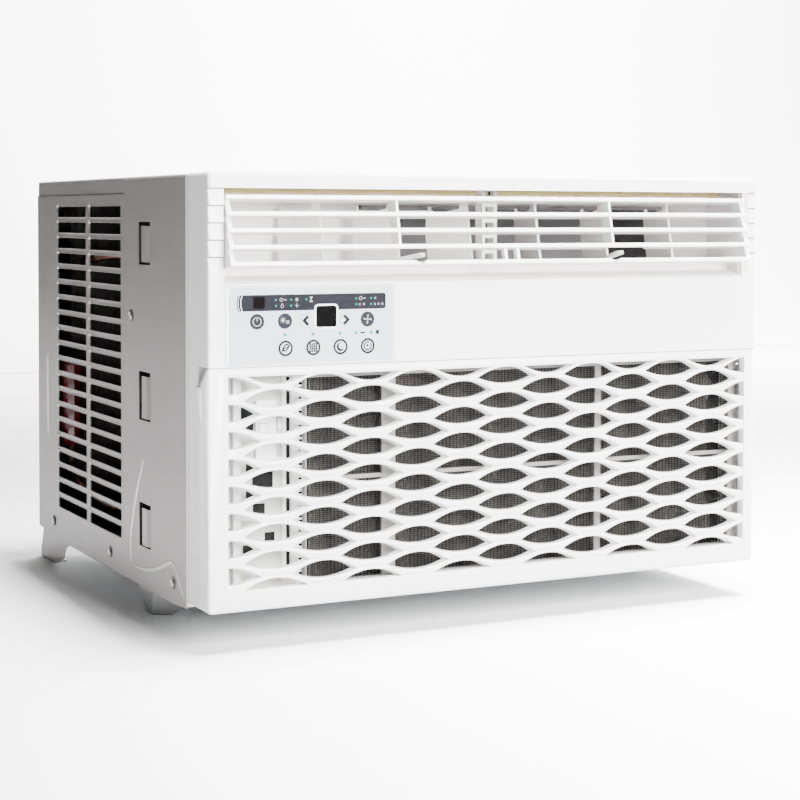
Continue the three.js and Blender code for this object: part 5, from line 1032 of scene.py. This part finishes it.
# --------------------------------------------------------------------------- filter
@dataclass(frozen=True)
class AirFilter:
    """Framed net behind the lattice, which stands for the CAD filter."""

    datum: Datum
    repeater: Repeater
    rim: float = 7.0
    left_rim: float = 1.6
    bars: tuple[Point2, ...] = ((-119.0, -104.5), (118.3, 125.4))
    pitch: float = 1.9
    strand: float = 0.62

    def build(self) -> None:
        """Makes the frame with its bars, and the two strand directions of the net."""
        low, high = (Vector(c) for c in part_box("air_filter"))
        frame = self._frame(low, high)
        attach(frame, "cabinet")
        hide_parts("air_filter")
        for piece in (self._strands(low, high, True), self._strands(low, high, False)):
            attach(piece, "cabinet")

    def _frame(self, low: Vector, high: Vector) -> bpy.types.Object:
        """Rim, two uprights and a crossbar with softened edges."""
        rim = self.rim * MM
        bars = [
            (low.x, low.x + self.left_rim * MM, low.z, high.z), (high.x - rim, high.x, low.z, high.z),
            (low.x + self.left_rim * MM, high.x - rim, low.z, low.z + rim),
            (low.x + self.left_rim * MM, high.x - rim, high.z - rim, high.z),
        ]
        mid = (low.z + high.z) / 2
        inset = 1.0 * MM
        uprights = [(left * MM, right * MM) for left, right in self.bars]
        bm = bmesh.new()
        for x0, x1, z0, z1 in bars:
            add_box(bm, Vector((x0, low.y, z0)), Vector((x1, high.y, z1)))
        for x0, x1 in uprights:
            add_box(bm, Vector((x0, low.y + inset, low.z + rim)), Vector((x1, high.y - inset, high.z - rim)))
        edges = [low.x + self.left_rim * MM, *(v for pair in uprights for v in pair), high.x - rim]
        for x0, x1 in zip(edges[::2], edges[1::2]):
            add_box(bm, Vector((x0, low.y + inset, mid - 2 * MM)), Vector((x1, high.y - inset, mid + 2 * MM)))
        bevel_all(bm, 0.5 * MM)
        return finish_bmesh("filter_frame", bm, FILTER_FRAME, 35)

    def _strands(self, low: Vector, high: Vector, upright: bool) -> bpy.types.Object:
        """One direction of the woven net."""
        inside = (self.rim - 2) * MM
        mid = (low.y + high.y) / 2 + (0.35 if upright else -0.35) * MM
        half = self.strand * MM / 2
        pitch = self.pitch * MM
        x0, x1, z0, z1 = low.x + 0.8 * MM, high.x - inside, low.z + inside, high.z - inside
        bm = bmesh.new()
        if upright:
            ends = [Vector((x0, mid, z0)), Vector((x0, mid, z1))]
            count, step = int((x1 - x0) / (pitch * 2)), Vector((pitch * 2, 0, 0))
        else:
            ends = [Vector((x0, mid, z0)), Vector((x1, mid, z0))]
            count, step = int((z1 - z0) / pitch), Vector((0, 0, pitch))
        along = (ends[1] - ends[0]).normalized()
        side = Vector((0, 1, 0))
        across = along.cross(side)
        rings = [[bm.verts.new(end + (side * s + across * t) * half)
                  for s, t in ((1, 0), (0, 1), (-1, 0), (0, -1))] for end in ends]
        bridge(bm, rings[0], rings[1])
        close_ends(bm, rings[0], rings[1])
        name = "filter_net_upright" if upright else "filter_net_level"
        return self.repeater.along(finish_bmesh(name, bm, NET), count, step)


# --------------------------------------------------------------------------- plenum
@dataclass(frozen=True)
class PlenumTrim:
    """Rails, cover and near-black plates as painted shadow in the gaps, on the deck behind the left of the
    lattice.
    """

    datum: Datum
    repeater: Repeater
    deck_front: float = 24.9
    low: float = 13.0
    high: float = 211.0
    hole_rows: int = 43
    hole_pitch: float = 4.4

    def build(self) -> None:
        """Makes the wall, the raised parts, near-black plates as painted shadow in the gaps, and the
        perforated strip with painted shadow for its holes.
        """
        wall = self._plates("plenum_wall", GREY_WALL, ((-283.0, -204.0, self.low, self.high, 0.4),), 0.15)
        raised = self._plates("plenum_rails", PLENUM_WHITE, (
            (-268.2, -260.9, 19.0, self.high, 5.0), (-245.8, -225.7, 127.4, 187.6, 4.2),
            (-243.6, -233.8, 157.6, 166.8, 4.8), (-224.3, -219.6, 160.5, 170.5, 3.4),
            (-219.4, -215.2, 20.0, 210.0, 2.2), (-210.9, -203.0, 20.0, 210.0, 3.0),
            (-262.0, -216.0, 132.0, 134.5, 2.0), (-260.0, -222.0, 78.0, 80.4, 1.8),
        ), 0.6)
        # Near-black plates where the deck shows dark openings: painted shadow.
        gaps = self._plates("plenum_gaps", GAP_SHADOW, (
            (-248.3, -227.8, 107.2, 122.3, 0.7), (-254.4, -246.5, 122.9, 130.7, 0.7),
            (-254.4, -245.1, 98.4, 105.5, 0.7), (-247.6, -235.7, 83.0, 93.0, 0.7),
            (-257.4, -245.6, 45.5, 55.6, 0.7), (-246.6, -235.3, 14.1, 19.7, 0.7),
            (-214.6, -211.4, 22.0, 208.0, 0.7), (-259.8, -247.0, 160.0, 182.0, 0.7),
            (-236.0, -226.0, 58.0, 66.0, 0.7), (-282.0, -270.0, 60.0, 72.0, 0.7),
        ), 0.2)
        pan = self._plates("plenum_pan_edge", EPS, ((-262.0, -205.0, self.low, 31.0, 1.2),), 0.4)
        # The gap plates and perforations are near-black painted shadow, not black plastic.
        for piece, slot in ((wall, "grey_plastic"), (raised, "white_abs"), (gaps, "black_plastic"),
                            (pan, "foam"), (self._perforations(), "black_plastic")):
            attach(piece, "cabinet")

    def _plates(self, name: str, finish: Finish, plates: Sequence[Plate],
                soft: float) -> bpy.types.Object:
        """Makes bevelled plates that stand on the deck.

        Args:
            name: Piece name.
            finish: Its finish.
            plates: Left, right, low, high and thickness of each plate.
            soft: Bevel width.
        """
        bm = bmesh.new()
        for x0, x1, z0, z1, thick in plates:
            add_box(bm, self.datum.at(x0, self.deck_front - thick, z0),
                    self.datum.at(x1, self.deck_front + 0.5, z1))
        bevel_all(bm, soft * MM)
        return finish_bmesh(name, bm, finish, 40)

    def _perforations(self) -> bpy.types.Object:
        """Column of short slots beside the filter, as near-black blocks: painted shadow in the holes."""
        bm = bmesh.new()
        add_box(bm, self.datum.at(-202.4, self.deck_front - 0.5, 20.0),
                self.datum.at(-198.6, self.deck_front + 0.4, 22.2))
        bevel_all(bm, 0.2 * MM, 1)
        piece = finish_bmesh("plenum_perforations", bm, GAP_SHADOW)
        return self.repeater.along(piece, self.hole_rows, Vector((0, 0, self.hole_pitch * MM)))


# --------------------------------------------------------------------------- outlet
@dataclass(frozen=True)
class OutletTrim:
    """Painted shadow lines under the lips of the stepped edge strips, and the foam over the louvres."""

    datum: Datum
    repeater: Repeater
    step_pitch: float = 15.3
    steps: int = 5
    step_top: float = 380.4

    def build(self) -> None:
        """Makes both columns of painted shadow lines under the step lips, the painted shadow strip above the
        grille, and the foam with its dark spacer.
        """
        _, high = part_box("louvre_bank")
        side = high.x / MM
        for label, x0, x1 in (("left", -299.9, -(side - 1.8)), ("right", side + 4.6, 299.9)):
            # Thin grey strips under each step's lip: painted shadow of the overlapping strip.
            bm = bmesh.new()
            add_box(bm, self.datum.at(x0, 0.7, self.step_top - 0.85),
                    self.datum.at(x1, 1.95, self.step_top - 0.05))
            seam = finish_bmesh(f"step_seams_{label}", bm, SEAM_AND_SHADOW)
            seam = self.repeater.along(seam, self.steps, Vector((0, 0, -self.step_pitch * MM)))
            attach(seam, "cabinet")
        # Near-black strip inside the gap between panel and grille: painted shadow.
        bm = bmesh.new()
        add_box(bm, self.datum.at(-299.4, 0.5, 219.75), self.datum.at(299.4, 3.0, 220.2))
        line = finish_bmesh("grille_top_seam", bm, GAP_SHADOW)
        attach(line, "cabinet")
        foam = self._foam()
        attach(foam, "cabinet")
        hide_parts("outlet_seal")
        bm = bmesh.new()
        add_box(bm, self.datum.at(2.4, 33.2, 376.6), self.datum.at(11.8, 41.0, 380.6))
        bevel_all(bm, 0.5 * MM)
        spacer = finish_bmesh("outlet_spacer", bm, SPACER)
        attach(spacer, "cabinet")

    def _foam(self) -> bpy.types.Object:
        """Open-cell strip whose lower face swells and dips a little along its length."""
        low, high = (Vector(c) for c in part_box("outlet_seal"))
        cells, rings = 96, []
        bm = bmesh.new()
        for k in range(cells + 1):
            x = low.x + (high.x - low.x) * k / cells
            swell = (0.45 * math.sin(k * 0.71) + 0.3 * math.sin(k * 1.93 + 1.0)) * MM
            y0, z0 = low.y + swell * 0.5, low.z - 0.9 * MM + swell
            soft = 1.2 * MM
            section = ((y0 + soft, z0), (high.y, z0), (high.y, high.z), (y0 + soft, high.z),
                       (y0, high.z - soft), (y0, z0 + soft))
            rings.append([bm.verts.new((x, y, z)) for y, z in section])
        for near, far in zip(rings, rings[1:]):
            bridge(bm, near, far)
        close_ends(bm, rings[0], rings[-1])
        return finish_bmesh("outlet_foam", bm, FOAM_STRIP, 30)


# --------------------------------------------------------------------------- cabinet sides
@dataclass(frozen=True)
class SideTrim:
    """Pressed beads, slot lips, seams and small marks of both cabinet sides."""

    datum: Datum
    repeater: Repeater
    face: float = 300.0
    bead_height: float = 0.9
    bead_width: float = 5.2
    slot_front: float = 245.0
    slot_back: float = 467.0
    slot_bar: float = 13.0
    slot_top: float = 359.5
    slot_high: float = 11.3
    slot_pitch: float = 17.0
    slot_rows: int = 20
    upright_width: float = 8.0

    def build(self) -> None:
        """Makes the trim of the left and the right side."""
        curve = ((177, 118), (190, 98), (200, 79), (207, 64), (213, 50), (216.5, 38), (217, 27), (214, 15),
                 (200, 10), (180, 10.5), (160, 13), (142, 17), (125, 22), (103, 30), (92, 30), (85, 26),
                 (74, 14), (65, 3))
        upright = ((510, 107), (510, 118), (510, 153), (510, 190), (510, 200))
        for side, label in ((-1, "left"), (1, "right")):
            for kind, path, width in (("curved", curve, self.bead_width),
                                      ("upright", upright, self.upright_width)):
                # Beads and slot bosses are in the lighter paint copy, a painted highlight, not the plain
                # cabinet paint.
                bead = self._bead(f"side_{kind}_bead_{label}", side, self._smooth(path), width)
                self._done(bead, "cabinet_paint")
            for number, (y0, y1) in enumerate(self._columns(), 1):
                step = Vector((0, 0, -self.slot_pitch * MM))
                for kind, make in (("lips", self._slot_lip), ("domes", self._slot_dome)):
                    piece = make(f"slot_{kind}_{label}_{number}", side, y0, y1)
                    self._done(self.repeater.along(piece, self.slot_rows, step), "cabinet_paint")
            self._done(self._bezel_seam(f"bezel_seam_{label}", side), "grey_plastic")

    def _columns(self) -> tuple[Point2, Point2]:
        """Front and rear limits of the two slot columns."""
        middle = (self.slot_front + self.slot_back) / 2
        return (self.slot_front, middle - self.slot_bar / 2), (middle + self.slot_bar / 2, self.slot_back)

    @staticmethod
    def _done(piece: bpy.types.Object, slot: str) -> None:
        """Parents a finished piece to the cabinet body."""
        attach(piece, "cabinet")

    @staticmethod
    def _smooth(points: Sequence[Point2], steps: int = 5) -> list[Point2]:
        """Runs a Catmull-Rom curve through the points."""
        rich = [points[0], *points, points[-1]]
        out: list[Point2] = []
        for a, b, c, d in zip(rich, rich[1:], rich[2:], rich[3:]):
            for k in range(steps):
                t = k / steps
                out.append(tuple(0.5 * (2 * b[i] + (c[i] - a[i]) * t
                                        + (2 * a[i] - 5 * b[i] + 4 * c[i] - d[i]) * t * t
                                        + (3 * b[i] - a[i] - 3 * c[i] + d[i]) * t ** 3)
                                 for i in (0, 1)))
        out.append(points[-1])
        return out

    def _bead(self, name: str, side: int, path: Sequence[Point2], width: float) -> bpy.types.Object:
        """Sweeps a low round ridge along a path of depth and height, fading at both ends, in the lighter
        paint copy: a painted highlight along the bead.
        """
        profile = ((-0.5, -0.25), (-0.36, 0.3), (-0.18, 0.8), (0.0, 1.0), (0.18, 0.8), (0.36, 0.3),
                   (0.5, -0.25))
        bm = bmesh.new()
        rings = []
        for k, (y, z) in enumerate(path):
            before, after = path[max(0, k - 1)], path[min(len(path) - 1, k + 1)]
            run = Vector((after[0] - before[0], after[1] - before[1])).normalized()
            fade = min(1.0, (k + 0.6) / 9, (len(path) - k - 0.4) / 5)
            ring = []
            for across, high in profile:
                lift = self.face + self.bead_height * high * fade
                offset = across * width * (0.55 + 0.45 * fade)
                ring.append(bm.verts.new(self.datum.at(side * lift, y - run.y * offset, z + run.x * offset)))
            rings.append(ring)
        for near, far in zip(rings, rings[1:]):
            bridge(bm, near, far)
        close_ends(bm, rings[0], rings[-1])
        return finish_bmesh(name, bm, CABINET_HIGHLIGHT, 50)

    def _slot_lip(self, name: str, side: int, y0: float, y1: float) -> bpy.types.Object:
        """Makes the rolled lip round one slot."""
        z0, z1 = self.slot_top - self.slot_high / 2, self.slot_top + self.slot_high / 2
        outline = rounded_points(y0, y1, z0, z1, 1.2, 2)
        middle = Vector(((y0 + y1) / 2, (z0 + z1) / 2))
        bm = bmesh.new()
        rings = []
        for grow, lift in ((0.0, -0.5), (0.0, 0.25), (0.35, 0.45), (0.9, 0.3), (1.3, -0.3)):
            ring = []
            for y, z in outline:
                out_y, out_z = math.copysign(grow, y - middle.x), math.copysign(grow, z - middle.y)
                ring.append(bm.verts.new(self.datum.at(side * (self.face + lift), y + out_y, z + out_z)))
            rings.append(ring)
        for near, far in zip(rings, rings[1:] + rings[:1]):
            bridge(bm, near, far)
        return finish_bmesh(name, bm, CABINET, 40)

    def _slot_dome(self, name: str, side: int, y0: float, y1: float) -> bpy.types.Object:
        """Makes the small boss at the upper rear corner of one slot, in the lighter paint copy: a painted
        highlight on the boss.
        """
        z1 = self.slot_top + self.slot_high / 2
        bm = bmesh.new()
        centre = self.datum.at(side * (self.face - 0.1), y1 + 0.4, z1 + 1.2)
        dome = Matrix.Translation(centre) @ Matrix.Diagonal((1.7 * MM, 3.4 * MM, 2.3 * MM, 1.0))
        bmesh.ops.create_icosphere(bm, subdivisions=2, radius=1.0, matrix=dome)
        return finish_bmesh(name, bm, CABINET_HIGHLIGHT, 40)

    def _bezel_seam(self, name: str, side: int) -> bpy.types.Object:
        """Thin shadow line round the rear of the moulded front."""
        bm = bmesh.new()
        x0, x1 = sorted((side * (self.face - 0.6), side * (self.face + 0.05)))
        add_box(bm, self.datum.at(x0, 50.7, 1.0), self.datum.at(x1, 51.3, 393.0))
        return finish_bmesh(name, bm, SEAM_AND_SHADOW)


# --------------------------------------------------------------------------- coils
@dataclass(frozen=True)
class CoilFins:
    """Fin edges that stand on a coil's face."""

    node: str
    front: bool
    repeater: Repeater
    pitch: float = 1.8
    proud: float = 1.6
    fin: float = 0.25
    plate: float = 2.0
    bend: float = 17.3

    def build(self) -> None:
        """Lines the coil's face with thin plates between the end plates."""
        low, high = (Vector(c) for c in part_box(self.node))
        # the return bends stick out at both ends, and the end plates at each face
        bend, plate = self.bend * MM, self.plate * MM
        x0, x1 = low.x + bend, high.x - bend
        y = low.y + plate if self.front else high.y - plate
        out = -self.proud * MM if self.front else self.proud * MM
        bm = bmesh.new()
        add_box(bm, Vector((x0, min(y, y + out), low.z + plate)),
                Vector((x0 + self.fin * MM, max(y, y + out), high.z - plate)))
        # Both fin finishes are darkened: painted shade of the unit's interior.
        piece = finish_bmesh(f"{self.node}_fins", bm, SHADED_FIN_EDGES if self.front else SHADED_CONDENSER_FIN)
        count = int((x1 - x0) / (self.pitch * MM))
        piece = self.repeater.along(piece, count, Vector((self.pitch * MM, 0, 0)))
        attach(piece, "cabinet")


# --------------------------------------------------------------------------- fasteners
@dataclass(frozen=True)
class Screws:
    """Hex washer-head screws on the cabinet."""

    datum: Datum
    sides: int = 24
    shade_rim_from: float = 4.2

    def build(self) -> None:
        """Places the screws of both sides."""
        places = ((213, 257), (487, 12), (282, 11), (92, 13))
        low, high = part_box("front_panel")
        for side in (-1, 1):
            face = (high.x if side > 0 else low.x) / MM
            for number, (y, z) in enumerate(places, 1):
                label = "left" if side < 0 else "right"
                piece = self._screw(f"side_screw_{label}_{number}", Vector((side, 0, 0)),
                                    self.datum.at(face, y, z))
                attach(piece, "cabinet")

    def _screw(self, name: str, out: Vector, foot: Vector) -> bpy.types.Object:
        """Washer disc and hexagon with a dished top."""
        bm = bmesh.new()
        turn = out.to_track_quat("Z", "Y").to_matrix().to_4x4()
        place = Matrix.Translation(foot) @ turn
        rings: list[list[bmesh.types.BMVert]] = []
        angles = [2 * math.pi * k / self.sides for k in range(self.sides)]
        washer = ((6.0, 0.02), (6.0, 0.45), (5.5, 0.75), (4.3, 0.8))
        for r, h in washer:
            rings.append([bm.verts.new(place @ Vector((r * MM * math.cos(a), r * MM * math.sin(a),
                                                      h * MM))) for a in angles])
        hexagon = ((4.1, 0.8), (4.1, 1.75), (3.6, 2.1), (2.4, 1.8), (0.9, 1.7))
        for r, h in hexagon:
            ring = []
            for a in angles:
                folded = (a % (math.pi / 3)) - math.pi / 6
                reach = r if r < 3 else r * math.cos(math.pi / 6) / math.cos(folded)
                point = Vector((reach * MM * math.cos(a), reach * MM * math.sin(a), h * MM))
                ring.append(bm.verts.new(place @ point))
            rings.append(ring)
        for lower, upper in zip(rings, rings[1:]):
            bridge(bm, lower, upper)
        bm.faces.new(list(reversed(rings[0])))
        bm.faces.new(rings[-1])
        piece = finish_bmesh(name, bm, SCREW_ZINC, 35)
        # Outer washer faces take the near-black finish: a painted shadow ring round the head.
        piece.data.materials.append(SCREW_SHADE_RIM.build())
        for face in piece.data.polygons:
            if (face.center - foot).length > self.shade_rim_from * MM:
                face.material_index = 1
        return piece


# --------------------------------------------------------------------------- studio
@dataclass(frozen=True)
class Studio:
    """Pale floor, soft lights and the camera."""

    datum: Datum
    lens: float = 82.17
    eye: Point3 = (-874.2, -1515.4, 355.4)
    yaw: float = -26.761
    pitch: float = -2.249
    roll: float = 0.139
    shift: float = -0.1398
    ambient: float = 0.12

    def build(self) -> None:
        """Creates floor, world, lights and camera."""
        self._floor()
        self._world()
        self._lights()
        self._camera()

    def _floor(self) -> None:
        """Large pale plane under the feet, swept up into a backdrop far behind."""
        bm = bmesh.new()
        bmesh.ops.create_grid(bm, x_segments=1, y_segments=1, size=12.0)
        floor = finish_bmesh("studio_floor", bm, FLOOR)
        left, right, back, radius, top = 0.25, 7.0, 4.2, 1.2, 2.6
        steps = 24
        profile = [(back - radius + radius * math.sin(a), 0.002 + radius * (1 - math.cos(a)))
                   for a in (math.radians(90 * k / steps) for k in range(steps + 1))]
        profile = [(back - radius - 0.3, 0.001), *profile, (back, top)]
        bm = bmesh.new()
        columns = [[bm.verts.new((x, y, z)) for y, z in profile] for x in (left, right)]
        for k in range(len(profile) - 1):
            bm.faces.new([columns[0][k], columns[1][k], columns[1][k + 1], columns[0][k + 1]])
        sweep = finish_bmesh("studio_backdrop", bm, BACKDROP, 40)

    def _world(self) -> None:
        """Even pale surroundings."""
        world = bpy.data.worlds.new("studio_world")
        world.use_nodes = True
        background = world.node_tree.nodes["Background"]
        background.inputs["Color"].default_value = (1.0, 1.0, 1.0, 1.0)
        background.inputs["Strength"].default_value = self.ambient
        bpy.context.scene.world = world

    def _lights(self) -> None:
        """Front softbox, overhead softbox, backdrop light and a weak light from behind."""
        self._area("front_softbox", (450, -2300, 1150), (0, 0, 210), 1300, 330)
        self._area("overhead_softbox", (600, -250, 2700), (600, -250, 0), 1400, 170, 60)
        self._area("backdrop_light", (2300, 2300, 2500), (2300, 4200, 500), 1800, 900)
        self._area("rear_softbox", (1500, 2500, 1700), (0, 300, 200), 1300, 60)
        self._area("left_glint", (-2300, 1500, 1300), (-300, 300, 200), 300, 5)

    def _area(self, name: str, place: Point3, target: Point3, size: float, power: float,
              spread: float = 180.0) -> None:
        """Adds one square area light aimed at a datum point."""
        data = bpy.data.lights.new(name, "AREA")
        data.shape = "SQUARE"
        data.size = size * MM
        data.energy = power
        data.spread = math.radians(spread)
        lamp = bpy.data.objects.new(name, data)
        bpy.context.scene.collection.objects.link(lamp)
        lamp.location = self.datum.at(*place)
        aim = self.datum.at(*target) - lamp.location
        lamp.rotation_euler = aim.to_track_quat("-Z", "Y").to_euler()

    def _camera(self) -> None:
        """Adds the camera at a low three-quarter view."""
        data = bpy.data.cameras.new("studio_camera")
        data.lens = self.lens
        data.sensor_width = 36.0
        data.shift_y = self.shift
        data.clip_end = 60.0
        camera = bpy.data.objects.new("studio_camera", data)
        bpy.context.scene.collection.objects.link(camera)
        turn = (Matrix.Rotation(math.radians(self.yaw), 4, "Z")
                @ Matrix.Rotation(math.radians(90 + self.pitch), 4, "X")
                @ Matrix.Rotation(math.radians(self.roll), 4, "Z"))
        camera.matrix_world = Matrix.Translation(self.datum.at(*self.eye)) @ turn
        bpy.context.scene.camera = camera


# --------------------------------------------------------------------------- main
def dress_frame(nodes: dict[str, bpy.types.Object]) -> None:
    """Gives every CAD node its finish and smooth shading across its flat edges."""
    for name, obj in nodes.items():
        finish = NODE_FINISHES.get(name)
        if finish is None:
            finish = VANE_ABS if name.startswith("vane") else WHITE_ABS
        obj.data.materials.clear()
        obj.data.materials.append(finish.build())
        obj.data.shade_smooth()
        obj.data.set_sharp_from_angle(angle=math.radians(SMOOTH_ANGLE))


def main() -> None:
    """Builds the scene."""
    logging.basicConfig(level=logging.INFO)
    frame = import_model()
    datum = Datum.of_panel()
    repeater = Repeater()
    dress_frame(frame["nodes"])
    WaveLattice(datum).build()
    KeyPanel(datum).build()
    AirFilter(datum, repeater).build()
    PlenumTrim(datum, repeater).build()
    OutletTrim(datum, repeater).build()
    SideTrim(datum, repeater).build()
    CoilFins("evaporator_coil", True, repeater).build()
    CoilFins("condenser_coil", False, repeater).build()
    Screws(datum).build()
    Studio(datum).build()


if __name__ == "__main__":
    main()
